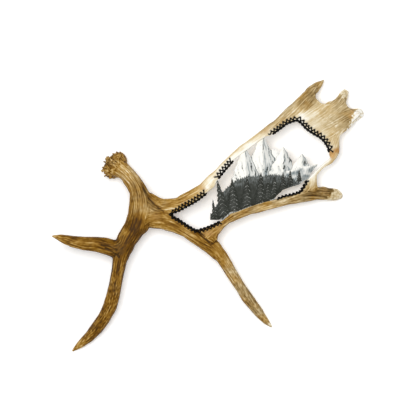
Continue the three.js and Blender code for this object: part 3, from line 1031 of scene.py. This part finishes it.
# Raises and sinks the skin, and records what the finish needs to know of each point.
def carveGrain(mesh):
    points, normals = vertexTable(mesh), normalTable(mesh)
    skin = readSkin(points, normals)
    height, furrow = boneRelief(points, skin)
    points = points + normals * height[:, None]
    points[:, 2] = 0.5 * (points[:, 2] + np.sqrt(points[:, 2] ** 2 + 0.5))  # not below the floor
    setVertices(mesh, points)
    sunken = hollows(mesh, points, normalTable(mesh))
    addMeasure(mesh, "tone", boneTone(points, skin, furrow))
    addMeasure(mesh, "warmth", boneWarmth(points, skin))
    addMeasure(mesh, "streak", boneStreak(points, skin))
    addMeasure(mesh, "hollow", sunken)
    addMeasure(mesh, "stain", boneStain(points, skin))
    addMeasure(mesh, "unsanded", skin.roughness * (1 - skin.bare))
    line = skin.line
    grain = np.stack([line["sideways"], line["upwards"], line["along"] * 0.08], 1)
    addPlaces(mesh, "grain", grain + line["seed"][:, None])
    return mesh


boneMesh = carveGrain(trueOutline(reachTips(relax(drawRimIn(wholeBone())))))
print("bone:", len(boneMesh.vertices), "vertices")


# Lacing
lace = {
    "pitch": 8.7,
    "thickness": 3.2,
    "edgeCords": {"lowerLeft": 3.6, "slot": 1.9, "top": 4.6, "upper": 4.4},
    "lean": 0.6,
    "crossLift": 1.6,
    "bareEnds": {"lowerLeft": (23, 3), "slot": (3, 3), "top": (3, 9), "upper": (11, 2)},
    "pieces": {
        "lowerLeft": "lacing_lower_left",
        "slot": "lacing_slot",
        "top": "lacing_top",
        "upper": "lacing_upper",
    },
    # how far the holes stand from the edge, by share of the run
    "holes": {
        "lowerLeft": [
            (0, 9.2), (0.35, 9), (0.42, 6), (0.47, 3.8), (0.7, 3.8), (0.78, 4.8), (1, 4.8),
        ],
        "slot": [(0, 1.2), (0.5, 1.6), (0.7, 2.6), (1, 3.4)],
        "top": [(0, 8.2), (0.5, 8.6), (0.62, 8), (1, 7.4)],
        "upper": [(0, 8.8), (1, 8.8)],
    },
    "sunk": -1.6,  # height over the skin of a cord in its hole
    "feel": 7,  # how far the true edge is felt for on either side of the drawn one
    # the loose end's places: along the edge, depth from it and height over the skin
    "tail": [
        (0, 6.5, -1.6), (1.0, 5.4, 0.9), (3.5, 3.2, 1.3), (6.5, 2.4, 1.3), (9.5, 4.2, 1.2),
        (11, 6, 1.1),
    ],
}


def boneTree(mesh):
    return BVHTree.FromPolygons(
        [tuple(v) for v in vertexTable(mesh).tolist()],
        [tuple(face.vertices) for face in mesh.polygons],
    )


# Height of the bone's top (or underside) at a place, or the palm's middle where it is open.
def skinHeight(tree, x, y, top):
    high = 200 if top else -60
    hit = tree.ray_cast(Vector((x, y, high)), Vector((0, 0, -1 if top else 1)))[0]
    return hit.z if hit is not None else palmHeight(x, y)


class LacedEdge:
    # An opening's edge, read by distance along it and by depth into the rim.
    def __init__(self, outline, holes, tree):
        self.holes = np.array(holes, float).T
        self.line = smoothLine(outline, 1.0, places=2)
        self.lengths = runLengths(self.line)
        tangent = np.gradient(self.line, axis=0)
        kernel = np.hanning(9) / np.hanning(9).sum()
        padded = np.pad(tangent, ((4, 4), (0, 0)), mode="edge")
        columns = [np.convolve(padded[:, k], kernel, "valid") for k in range(2)]
        tangent = unit(np.stack(columns, 1))
        self.inward = np.stack([tangent[:, 1], -tangent[:, 0]], 1)
        self.tree = tree
        self.edgeShift = np.array([self.trueEdge(i) for i in range(len(self.line))])

    def trueEdge(self, i):
        feel = lace["feel"]
        x, y = self.line[i] - self.inward[i] * feel
        start = Vector((x, y, palmHeight(x, y)))
        way = Vector((*self.inward[i], 0))
        hit = self.tree.ray_cast(start, way, 2 * feel)[0]
        return (hit - start).length - feel if hit is not None else 0.0

    def length(self):
        return self.lengths[-1]

    def holeDepth(self, distance):
        return float(np.interp(distance / self.length(), *self.holes))

    def at(self, distance, depth):
        columns = (*self.line.T, *self.inward.T, self.edgeShift)
        x, y, nx, ny, shift = (np.interp(distance, self.lengths, each) for each in columns)
        reach = depth + shift
        return x + nx * reach, y + ny * reach

    def onSkin(self, distance, depth, top, gap):
        x, y = self.at(distance, depth)
        feelX, feelY = self.at(distance, max(depth, 1.4))
        z = skinHeight(self.tree, feelX, feelY, top)
        return Vector((x, y, z + (gap if top else -gap)))


# One turn: out of a hole, across the rim, round the edge and back to the next hole below.
def turnOfLace(edge, holeAt, way, lift):
    radius = lace["thickness"] / 2
    reach = edge.holeDepth(holeAt)
    pitch = lace["pitch"]
    lean = lace["lean"] * pitch * way
    points = [edge.onSkin(holeAt, reach, True, lace["sunk"])]
    points.append(edge.onSkin(holeAt, reach - 0.3, True, 0.3))
    for share in (0.12, 0.3, 0.5, 0.68, 0.84):
        depth = reach * (1 - share)
        crossing = math.exp(-(((share - 0.78) / 0.2) ** 2))
        gap = radius * 0.8 + lift * crossing
        points.append(edge.onSkin(holeAt + lean * share, depth, True, gap))
    edgeAt = holeAt + lean
    drift = 0.08 * way * pitch
    rise = radius + 1.3 + 0.4 * lift
    crown = edge.onSkin(edgeAt, 0.4, True, rise)
    foot = edge.onSkin(edgeAt + drift, 0.4, False, rise)
    points.append(crown)
    side = radius + 0.5 + 0.3 * lift
    for share in (0.22, 0.5, 0.78):
        x, y = edge.at(edgeAt + share * drift, -side)
        points.append(Vector((x, y, crown.z + (foot.z - crown.z) * share)))
    points.append(foot)
    nextHole = holeAt + way * pitch
    nextReach = edge.holeDepth(nextHole)
    for share in (0.2, 0.4, 0.6, 0.8, 0.93):
        distance = edgeAt + (nextHole - edgeAt) * share
        points.append(edge.onSkin(distance, nextReach * share, False, radius * 0.8 + lift * 0.5))
    points.append(edge.onSkin(nextHole, nextReach, False, lace["sunk"]))
    return points


def addSpline(curve, points):
    smooth = smoothLine([tuple(point) for point in points], 1.3)
    spline = curve.splines.new("POLY")
    spline.points.add(len(smooth) - 1)
    for target, place in zip(spline.points, smooth):
        target.co = (*(Vector(place) * millimetre), 1)


def cordMesh(name, lines, thickness):
    curve = bpy.data.curves.new(name, "CURVE")
    curve.dimensions = "3D"
    curve.bevel_depth = thickness / 2 * millimetre
    curve.bevel_resolution = 2
    curve.use_fill_caps = True
    for points in lines:
        addSpline(curve, points)
    return takeMesh(newObject(name, curve))


# The loose end left lying on the rim beyond the last hole of the top run.
def looseTail(edge, holeAt):
    return [edge.onSkin(holeAt + along, depth, True, gap) for along, depth, gap in lace["tail"]]


def makeLacing(key, tree, holes):
    edge = LacedEdge(lacedRuns[key], lace["holes"][key], tree)
    first, last = lace["bareEnds"][key]
    usable = edge.length() - first - last
    count = round(usable / lace["pitch"])
    start = first + (usable - count * lace["pitch"]) / 2
    turns = []
    for i in range(count + 1):
        holeAt = start + lace["pitch"] * i
        holes.append(edge.at(holeAt, edge.holeDepth(holeAt)))
        if i < count:
            turns.append(turnOfLace(edge, holeAt, 1, 0))
        if i > 0:
            turns.append(turnOfLace(edge, holeAt, -1, lace["crossLift"]))
    if key == "top":
        turns.append(looseTail(edge, start + lace["pitch"] * count))
    spots = np.arange(start - 2, start + count * lace["pitch"] + 2, 3.0)
    cords = [[edge.onSkin(spot, -0.6, top, -0.6) for spot in spots] for top in (True, False)]
    bm = bmesh.new()
    bm.from_mesh(cordMesh("turns", turns, lace["thickness"]))
    bm.from_mesh(cordMesh("edgeCords", cords, lace["edgeCords"][key]))
    bmesh.ops.remove_doubles(bm, verts=bm.verts, dist=mergeGap)
    name = "lacing" + key[0].upper() + key[1:]
    piece = newObject(name, meshFromBmesh(name, bm))
    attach(piece, "root")
    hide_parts(lace["pieces"][key])
    total = sum((b - a).length for points in turns + cords for a, b in zip(points, points[1:]))
    print(name, count, "turns each way,", round(total), "mm of cord")
    return piece


boneFeel = boneTree(boneMesh)
stitchHoles = []
lacings = [makeLacing(key, boneFeel, stitchHoles) for key in lace["pieces"]]


# The bone's pieces, parted at the main forks
# at and heading are in the plane; reach is half the width of the cut
forks = [
    {"at": (-100.7, 5.2), "heading": (1, 0), "reach": 50},
    {"at": (-164.7, -17.8), "heading": (-0.5, -0.87), "reach": 36},
    {"at": (-219.7, -75.8), "heading": (-0.98, 0.18), "reach": 27},
    {"at": (-205.7, -106.8), "heading": (-0.2, -0.98), "reach": 22},
    {"at": (10.3, -70.8), "heading": (0.4, -0.92), "reach": 27},
]
pieceSpots = {
    "beam": (-162.7, 60),
    "brow_branch": (-184.7, -55),
    "brow_tine": (-286.7, -64),
    "long_brow_tine": (-219.7, -181),
    "palm": (182.3, 231),
    "rear_tine": (66.3, -155),
}
leastPiece = 500  # points; anything smaller is a crumb of the remeshing
mostTriangles = 185000


# Marks the skin round each stitch hole. The holes are not cut, so this mark is painted near-black as
# the hole's shade.
def markStitchHoles(mesh):
    points = vertexTable(mesh)
    pit = np.zeros(len(points))
    for x, y in stitchHoles:
        pit = np.maximum(pit, 1 - ramp(fromSpot(points, x, y), 1.2, 3.2))
    addMeasure(mesh, "pit", pit)


def cutAt(bm, fork):
    at = Vector((*fork["at"], 0)) * millimetre
    heading = Vector((*fork["heading"], 0)).normalized()
    across = Vector((-heading.y, heading.x, 0))
    reach = fork["reach"] * millimetre
    slab = 6 * millimetre
    near = []
    for face in bm.faces:
        offset = face.calc_center_median() - at
        if abs(offset.dot(heading)) < slab and abs(offset.dot(across)) < reach:
            near.append(face)
    geom = set(near)
    for face in near:
        geom.update(face.verts)
        geom.update(face.edges)
    cut = bmesh.ops.bisect_plane(bm, geom=list(geom), plane_co=at, plane_no=heading, dist=1e-7)
    edges = [each for each in cut["geom_cut"] if isinstance(each, bmesh.types.BMEdge)]
    bmesh.ops.split_edges(bm, edges=edges)


def looseParts(bm):
    bm.verts.ensure_lookup_table()
    seen = set()
    for seed in bm.verts:
        if seed in seen:
            continue
        seen.add(seed)
        part, queue = [], [seed]
        while queue:
            vert = queue.pop()
            part.append(vert)
            for edge in vert.link_edges:
                other = edge.other_vert(vert)
                if other not in seen:
                    seen.add(other)
                    queue.append(other)
        yield part


def planePlaces(verts):
    return np.array([vert.co[:2] for vert in verts]) / millimetre


def triangles(mesh):
    return sum(len(face.vertices) - 2 for face in mesh.polygons)


def partBone(mesh):
    bm = bmesh.new()
    bm.from_mesh(mesh)
    for fork in forks:
        cutAt(bm, fork)
    parts = {}
    for part in looseParts(bm):
        places = planePlaces(part)
        for name, spot in pieceSpots.items():
            if fromSpot(places, *spot).min() < 4 and len(part) > leastPiece:
                parts[name] = {vert.index for vert in part}
    bm.verts.index_update()
    meshes = {}
    for name, chosen in parts.items():
        piece = bm.copy()
        dropVerts(piece, [vert for vert in piece.verts if vert.index not in chosen])
        rims = [edge for edge in piece.edges if edge.is_boundary]
        for edge in rims:
            edge.smooth = False
        bmesh.ops.holes_fill(piece, edges=rims)
        bmesh.ops.recalc_face_normals(piece, faces=piece.faces)
        meshes[name] = meshFromBmesh(name + "Bone", piece)
    bm.free()
    return meshes


# Merges faces until the piece is light enough, least curved places first.
def thinned(mesh):
    count = triangles(mesh)
    if count <= mostTriangles:
        return mesh
    thing = newObject("thinning", mesh)
    addModifier(thing, "DECIMATE", ratio=mostTriangles / count)
    return takeMesh(thing)


markStitchHoles(boneMesh)
bonePieces = []
for name, mesh in partBone(boneMesh).items():
    words = name.split("_")
    title = words[0] + "".join(word.title() for word in words[1:]) + "Bone"
    piece = newObject(title, thinned(mesh))
    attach(piece, "root")
    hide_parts(name)
    bonePieces.append(piece)
    print(title, triangles(piece.data), "triangles")


# The carved scene
carving = {
    "step": 0.8,
    "corner": (-4, -22),
    "size": (292, 224),
    "field": [
        (3, -10), (30, -9), (34, -15.5), (52.8, 1.4), (70.3, 6.6), (97.3, 17.4), (122.3, 25.4),
        (145, 32), (151, 37), (155.3, 44.2), (171.3, 59.2), (189.3, 66.2), (207.3, 71.2),
        (221.3, 81.2), (231, 86), (235, 97), (247, 112), (262, 127), (274, 141),
        (276, 152), (240, 200), (160, 206), (135.2, 191.3), (116.4, 178.2), (92.4, 160.3),
        (63.5, 136.5), (28, 92), (14, 80), (3, 62),
    ],
    # heights over the palm's middle: behind the relief, at the rim, and of the back below it
    "backing": 3.2,
    "edgeHeight": 1.5,
    "underside": 3.6,
    "rimFade": (2, 12),  # how far from the rim the relief reaches its full height
    # ridge is its height at the middle line
    "peaks": [
        {"apex": (123.3, 188.2), "base": (125.3, 66), "half": 56, "ridge": 4.2, "seed": 2},
        {"apex": (171.3, 161.2), "base": (171.3, 80), "half": 42, "ridge": 4.4, "seed": 3},
        {"apex": (81.3, 165.2), "base": (89.3, 40), "half": 50, "ridge": 4.6, "seed": 1},
        {"apex": (214.3, 145.2), "base": (213.3, 84), "half": 40, "ridge": 4.8, "seed": 4},
    ],
    "moon": {"centre": (149.3, 140.2), "radius": 14.5, "height": 2.4},
    # the skyline of each band, how jagged it is and how far it stands out
    "bands": {
        "hills": {
            "jag": 0.0,
            "rise": 4.6,
            "seed": 30,
            "top": [
                (40, -10), (72, 20), (90, 36), (106, 54), (122, 70), (141, 87), (164, 100),
                (187, 106), (210, 113), (228, 115), (247, 120), (285, 132),
            ],
        },
        "forest": {
            "jag": 5.0,
            "rise": 6.0,
            "seed": 50,
            "top": [
                (0, 2), (12, 14), (26, 46), (42, 68), (66, 84), (92, 92), (120, 90),
                (150, 96), (175, 92), (196, 84), (216, 74), (240, 60),
            ],
        },
        "snow": {
            "jag": 0.0,
            "rise": 6.6,
            "seed": 70,
            "top": [
                (0, -14), (30, -7), (48, 7), (70, 13), (96, 23), (122, 30), (146, 38),
                (158, 46), (176, 61), (200, 68),
            ],
        },
    },
    "crumb": 400,  # points; smaller loose parts of the sheet are dropped
    # base, apex, half width
    "spruces": [
        ((171, 62), (171, 100), 9),
        ((151, 46), (151, 92), 12),
        ((136.3, 36), (136.3, 78), 12),
        ((119, 30), (120, 100), 16),
        ((88.3, 20), (88.3, 88), 18),
        ((187.3, 73), (187.3, 105), 8),
        ((208.3, 80), (208.3, 106), 7),
        ((60.3, 6), (52.3, 86), 20),
        ((14.3, -6.8), (9.3, 41), 10),
        ((38.3, -8), (18.3, 88), 20),
    ],
}


def insideOutline(x, y, outline):
    inside = np.zeros(x.shape, bool)
    for (ax, ay), (bx, by) in zip(outline, outline[1:] + outline[:1]):
        if ay == by:
            continue
        crosses = (ay > y) != (by > y)
        inside ^= crosses & (x < (bx - ax) * (y - ay) / (by - ay) + ax)
    return inside


def planeNoise(x, y, size, seed):
    return fieldNoise(np.stack([x / size, y / size, np.zeros_like(x)], 1), seed)


class Relief:
    # What has been carved so far at each point: its height and its paint.
    def __init__(self, x, y):
        self.x, self.y = x, y
        self.height = np.full(x.shape, -9.0)
        self.paint = {name: np.zeros(x.shape) for name in ("ink", "slate")}

    def lay(self, show, height, **paint):
        self.height[show] = height[show]
        for name in self.paint:
            self.paint[name][show] = np.broadcast_to(paint.get(name, 0.0), self.x.shape)[show]


def carvePeak(relief, peak):
    (ax, ay), (bx, by) = peak["apex"], peak["base"]
    x, y = relief.x, relief.y
    share = (ay - y) / (ay - by)
    wander = 2.5 * planeNoise(x * 0, y, 14, peak["seed"])
    centre = ax + (bx - ax) * share + wander * ramp(share, 0, 0.3)
    width = peak["half"] * np.clip(share, 0, 2) ** 0.9
    width = width * (1 + 0.12 * planeNoise(x * 0.2, y, 6, peak["seed"] + 20)) + 0.4
    across = (x - centre) / np.maximum(width, 0.5)
    mask = (share > 0) & (np.abs(across) < 1)
    rays = planeNoise(across * 6.5, share * 3.5, 1, peak["seed"] + 40)
    gullies = 1 - np.abs(rays) * 2.2
    side = np.sign(across)
    strokes = planeNoise(across * 7 + share * 9 * side, share * 4, 1, peak["seed"] + 50)
    crags = planeNoise(x, y, 4, peak["seed"] + 60)
    body = peak["ridge"] * np.clip(1 - np.abs(across), 0, 1) ** 0.75 * np.clip(share * 3, 0.35, 1)
    height = carving["backing"] + body + 0.8 * gullies * ramp(share, 0, 0.35) + 0.35 * crags
    height -= 0.5 * ramp(strokes, 0.05, 0.4)
    shaded = ramp(across, -0.06, 0.14)
    mist = ramp(share, 0.5, 1.0)
    slate = 0.38 * shaded + 0.34 * ramp(rays, 0.0, 0.4) * (0.3 + 0.7 * shaded)
    slate += 0.35 * mist + 0.25 * ramp(strokes, 0.0, 0.35)
    ink = 0.75 * ramp(strokes * (0.45 + 0.55 * shaded) + 0.35 * crags, 0.16, 0.5)
    ink += 0.45 * shaded * np.exp(-((across / 0.1) ** 2))
    edge = ramp(np.abs(across), 0.86, 1.0)
    relief.lay(mask, height, slate=slate + 0.3 * edge, ink=ink + 0.45 * edge)


def carveMoon(relief):
    moon = carving["moon"]
    (cx, cy), x, y = moon["centre"], relief.x, relief.y
    gap = np.hypot(x - cx, y - cy) / moon["radius"]
    disc = carving["backing"] + moon["height"] * np.sqrt(np.clip(1.15 - gap**2, 0, 1))
    seas = ramp(planeNoise(x, y, 7, 90), 0.05, 0.4)
    relief.lay(gap < 1, disc, slate=0.1 + 0.22 * seas)


def hillPaint(below, strokes, swell):
    slate = 0.62 - 0.4 * (1 - ramp(below, 0, 7)) + 0.3 * strokes + 0.45 * swell
    return {"slate": slate, "ink": 0.06 + 0.3 * ramp(strokes + 0.5 * swell, 0.15, 0.6)}


def forestPaint(below, strokes, _):
    ink = 0.62 + 0.3 * ramp(below, 4, 34) + 0.3 * strokes
    return {"ink": ink, "slate": 0.7 - 0.3 * strokes}


def snowPaint(_, strokes, swell):
    slate = 0.6 + 0.6 * strokes + 0.3 * swell
    return {"slate": slate, "ink": 0.15 + 0.4 * ramp(strokes, 0.0, 0.4)}


def carveBand(relief, band, paint):
    x, y, seed, jag = relief.x, relief.y, band["seed"], band["jag"]
    skyline = np.interp(x, *np.array(band["top"]).T)
    saw = np.abs(((x / 4.3 + 0.35 * planeNoise(x, y * 0, 6, seed)) % 1) - 0.5) * 2
    skyline = skyline + jag * (saw - 0.5) + 2.0 * planeNoise(x, y * 0, 17, seed + 5)
    below = skyline - y
    strokes = planeNoise(x * 2.6, y * 0.8, 6, seed + 9)
    swell = planeNoise(x, below * 2.2, 16, seed + 12)
    height = carving["backing"] + band["rise"] + 0.8 * swell + 0.35 * strokes
    height -= 1.0 * (1 - ramp(below, 0, 3))
    relief.lay(below > 0, height, **paint(below, strokes, swell))


def carveSpruce(relief, tree, seed):
    (bx, by), (ax, ay), half = tree
    x, y = relief.x, relief.y
    tall = ay - by
    share = (ay - y) / tall
    centre = ax + (bx - ax) * share
    tiers = 4 + round(tall / 16)
    droop = 0.16 * np.abs(x - centre) / half
    level = (share - droop) * tiers + 0.25 * planeNoise(x, y, 7, seed)
    within = level % 1
    sway = planeNoise(x, y, 2.4, seed + 3)
    width = half * np.clip(share, 0, 1) ** 0.85 * (0.6 + 0.4 * within)
    width = width * (1 + 0.3 * sway) + 0.5
    across = (x - centre) / np.maximum(width, 0.4)
    mask = (share > -0.01) & (share < 1.02) & (np.abs(across) < 1)
    rounding = np.sqrt(np.clip(1 - across**2, 0, 1))
    needles = planeNoise(x * 1.6 + 8 * across, y * 0.6, 1.9, seed + 7)
    height = carving["backing"] + 1.6 + 0.16 * half * rounding + 1.5 * within + 0.5 * needles
    frost = ramp(1 - within, 0.66, 0.95) * ramp(needles, -0.35, 0.35)
    relief.lay(mask, height, ink=1.0 - 0.75 * frost, slate=0.45 * frost + 0.1)
    trunk = (np.abs(x - bx) < 0.09 * half + 0.5) & (share >= 1) & (share < 1.12)
    relief.lay(trunk, np.full(x.shape, carving["backing"] + 2.5), ink=0.9)


def carveScene(x, y):
    relief, bands = Relief(x, y), carving["bands"]
    carveMoon(relief)
    for peak in carving["peaks"]:
        carvePeak(relief, peak)
    carveBand(relief, bands["hills"], hillPaint)
    carveBand(relief, bands["forest"], forestPaint)
    for order, tree in enumerate(carving["spruces"]):
        carveSpruce(relief, tree, 100 + 10 * order)
    carveBand(relief, bands["snow"], snowPaint)
    return relief


# A flat sheet, cut to the skyline and the field's outline.
def carvedSheet():
    bm = bmesh.new()
    (wide, tall), (lowX, lowY) = carving["size"], carving["corner"]
    columns, rows = (round(side / carving["step"]) for side in carving["size"])
    bmesh.ops.create_grid(bm, x_segments=columns, y_segments=rows, size=0.5)
    spread = Matrix.Diagonal((wide * millimetre, tall * millimetre, 1, 1))
    middle = Vector((lowX + wide / 2, lowY + tall / 2, 0)) * millimetre
    bmesh.ops.transform(bm, matrix=Matrix.Translation(middle) @ spread, verts=bm.verts)
    x, y = planePlaces(bm.verts).T
    keep = insideOutline(x, y, carving["field"]) & (carveScene(x, y).height > 0)
    dropVerts(bm, [vert for vert, kept in zip(bm.verts, keep) if not kept])
    for part in list(looseParts(bm)):
        if len(part) < carving["crumb"]:
            dropVerts(bm, part)
    for _ in range(3):
        pinched = [v for v in bm.verts if sum(edge.is_boundary for edge in v.link_edges) > 2]
        dropVerts(bm, pinched)
    gaps = [edge for edge in bm.edges if edge.is_boundary]
    bmesh.ops.holes_fill(bm, edges=gaps, sides=24)
    wires = [edge for edge in bm.edges if edge.is_wire]
    bmesh.ops.delete(bm, geom=wires, context="EDGES")
    dropVerts(bm, [vert for vert in bm.verts if not vert.link_faces])
    for _ in range(4):
        fringe = [vert for vert in bm.verts if vert.is_boundary]
        bmesh.ops.smooth_vert(bm, verts=fringe, factor=0.5, use_axis_x=True, use_axis_y=True)
    return bm


# The sheet's front is raised to the relief, and its back lies under the palm's middle.
def makeScene():
    bm = carvedSheet()
    places = planePlaces(bm.verts)
    x, y = places.T
    relief = carveScene(x, y)
    height = np.where(relief.height > 0, relief.height, carving["backing"])
    field, edge = carving["field"], carving["edgeHeight"]
    fromRim = distanceToLine(places, [*field, field[0]])
    height = edge + (height - edge) * (0.25 + 0.75 * ramp(fromRim, *carving["rimFade"]))
    middle = palmHeight(x, y)
    for vert, z in zip(bm.verts, (middle - carving["underside"]).tolist()):
        vert.co.z = z * millimetre
    layers = {name: bm.verts.layers.float.new(name) for name in (*relief.paint, "front")}
    for name, values in relief.paint.items():
        for vert, value in zip(bm.verts, values.tolist()):
            vert[layers[name]] = value
    tops = {(v.co.x, v.co.y): z for v, z in zip(bm.verts, (middle + height).tolist())}
    raised = bmesh.ops.extrude_face_region(bm, geom=list(bm.faces), use_keep_orig=True)
    for front in (each for each in raised["geom"] if isinstance(each, bmesh.types.BMVert)):
        front.co.z = tops[(front.co.x, front.co.y)] * millimetre
        front[layers["front"]] = 1.0
    bmesh.ops.recalc_face_normals(bm, faces=bm.faces)
    piece = newObject("carvedScene", meshFromBmesh("carvedScene", bm))
    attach(piece, "root")
    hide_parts("palm")
    print("carvedScene", triangles(piece.data), "triangles")
    return piece


carvedScene = makeScene()


# Finishes

def floorFinish():
    material, shader, _, _ = newMaterial("palePaper")
    paper = opaque(studio["floorColour"])
    feed(shader, Base_Color=paper, Emission_Color=paper, Emission_Strength=studio["floorGlow"])
    feed(shader, Roughness=0.9, Specular_IOR_Level=0.1)
    return material


warmTones = [
    (0.0, (0.055, 0.021, 0.0)),
    (0.2, (0.155, 0.064, 0.0)),
    (0.4, (0.305, 0.157, 0.02)),
    (0.55, (0.44, 0.262, 0.067)),
    (0.7, (0.6, 0.42, 0.175)),
    (0.85, (0.78, 0.66, 0.43)),
    (1.0, (0.93, 0.9, 0.8)),
]
coolTones = [
    (0.0, (0.07, 0.043, 0.011)),
    (0.2, (0.17, 0.108, 0.034)),
    (0.4, (0.325, 0.225, 0.094)),
    (0.55, (0.465, 0.345, 0.172)),
    (0.7, (0.62, 0.495, 0.29)),
    (0.85, (0.79, 0.7, 0.51)),
    (1.0, (0.93, 0.91, 0.84)),
]


boneColours = {
    "rust": ((0.33, 0.14, 0.022), (0.66, 0.42, 0.17)),
    # the dark colour of the rough hollows: dirt lodged there, and painted shade as well
    "grimeAndShade": (0.06, 0.035, 0.01),
    # pit is the painted shade of a stitch hole
    "pit": (0.02, 0.015, 0.01),
}
# each paint wanders between its two colours
paints = {
    "bare": ((0.86, 0.83, 0.74), (0.97, 0.965, 0.93)),
    "core": ((0.33, 0.22, 0.1), (0.62, 0.5, 0.31)),
    "slate": (0.2, 0.24, 0.25),
    "ink": ((0.012, 0.014, 0.009), (0.06, 0.065, 0.055)),
    "lace": ((0.0008, 0.0008, 0.0008), (0.003, 0.0028, 0.0026)),
}


def boneFinish():
    material, shader, tree, where = newMaterial("antlerBone")
    grain = tree.measured("grain", "Vector")
    tone = tree.measured("tone")
    streak = tree.measured("streak")
    hollow = tree.measured("hollow")
    unsanded = tree.measured("unsanded")
    hairs = tree.noisy(grain, 0.9, 3.0, 0.6)
    pores = tree.noisy(where, 900.0, 2.0, 0.6)
    blotches = tree.noisy(where, 38.0, 3.0, 0.55)
    shade = tone + streak + (hairs - 0.5) * 0.3 + (blotches - 0.5) * 0.2
    # Painted shade darkens the hollows; the ridges are lighter, partly wear and partly painted
    # highlight.
    shade = shade - hollow.step(0.02, 0.4) * 0.24 + hollow.step(-0.02, -0.35) * 0.1
    warm = tree.node("ShaderNodeValToRGB", {"stops": warmTones}, {"Fac": shade})
    cool = tree.node("ShaderNodeValToRGB", {"stops": coolTones}, {"Fac": shade})
    rust = (tree.noisy(where, 26.0, 3.0, 0.6) - 0.48) * 2.2
    ramped = (tree.measured("warmth") + rust).step(0.0, 1.0).mixed(cool, warm)
    stain = tree.measured("stain") * (0.5 + hairs)
    rusty = (hairs * 0.6 + blotches * 0.6).step(0.35, 0.85).mixed(*map(opaque, boneColours["rust"]))
    stained = stain.mixed(ramped, rusty)
    # Rough hollows take the dark colour: dirt lodged in them and painted shade.
    hollowDirtAndShade = hollow.step(0.12, 0.7) * unsanded * 0.75
    dirtiedAndShaded = hollowDirtAndShade.mixed(stained, opaque(boneColours["grimeAndShade"]))
    # Painted shade of the uncut stitch holes.
    pitted = tree.measured("pit").mixed(dirtiedAndShaded, opaque(boneColours["pit"]))
    rough = 0.42 + unsanded * 0.14 + (hairs - 0.5) * 0.2 + pores * 0.08
    bump = (hairs * 0.8 + pores * 0.35).bumped(0.55, 0.0004)
    feed(shader, Base_Color=pitted, Roughness=rough, Normal=bump, Specular_IOR_Level=0.13)
    return material


def sceneFinish():
    material, shader, tree, where = newMaterial("paintedCarving")
    front = tree.measured("front")
    ink = tree.measured("ink")
    slate = tree.measured("slate")
    brush = tree.noisy(tree.stretched(where, (1.0, 2.2, 1.0)), 160.0, 4.0, 0.65)
    mottle = tree.noisy(where, 60.0, 3.0, 0.5)
    pores = tree.noisy(where, 900.0, 2.0, 0.6)
    bare = (brush * 0.7 + mottle * 0.5).mixed(*map(opaque, paints["bare"]))
    core = (brush * 0.6 + mottle * 0.6).step(0.3, 0.9).mixed(*map(opaque, paints["core"]))
    slateCover = (slate * (0.7 + brush * 0.6) * front).step(0.0, 1.0)
    washed = slateCover.mixed(bare, opaque(paints["slate"]))
    inkCover = (ink * (0.75 + brush * 0.5) * front).step(0.05, 0.85)
    inked = inkCover.mixed(washed, (mottle * 0.8).mixed(*map(opaque, paints["ink"])))
    colour = front.mixed(core, inked)
    bump = (brush * 0.8 + pores * 0.3).bumped(0.5, 0.0005)
    rough = 0.4 + brush * 0.25
    feed(shader, Base_Color=colour, Roughness=rough, Normal=bump, Specular_IOR_Level=0.2)
    return material


def laceFinish():
    material, shader, tree, where = newMaterial("blackLace")
    weave = tree.noisy(where, 700.0, 2.0, 0.5)
    worn = tree.noisy(where, 90.0, 2.0, 0.5)
    colour = worn.mixed(*map(opaque, paints["lace"]))
    bump = weave.bumped(0.6, 0.0004)
    rough = 0.5 + weave * 0.2
    feed(shader, Base_Color=colour, Roughness=rough, Normal=bump, Specular_IOR_Level=0.1)
    return material


floor.data.materials.append(floorFinish())
boneMaterial, laceMaterial = boneFinish(), laceFinish()
for piece in bonePieces:
    piece.data.materials.append(boneMaterial)
for piece in lacings:
    piece.data.materials.append(laceMaterial)
carvedScene.data.materials.append(sceneFinish())
print("finishes are on")

boxes = {"cad": cadBox, "visual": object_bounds()}
plain = {name: [[float(value) for value in corner] for corner in box] for name, box in boxes.items()}
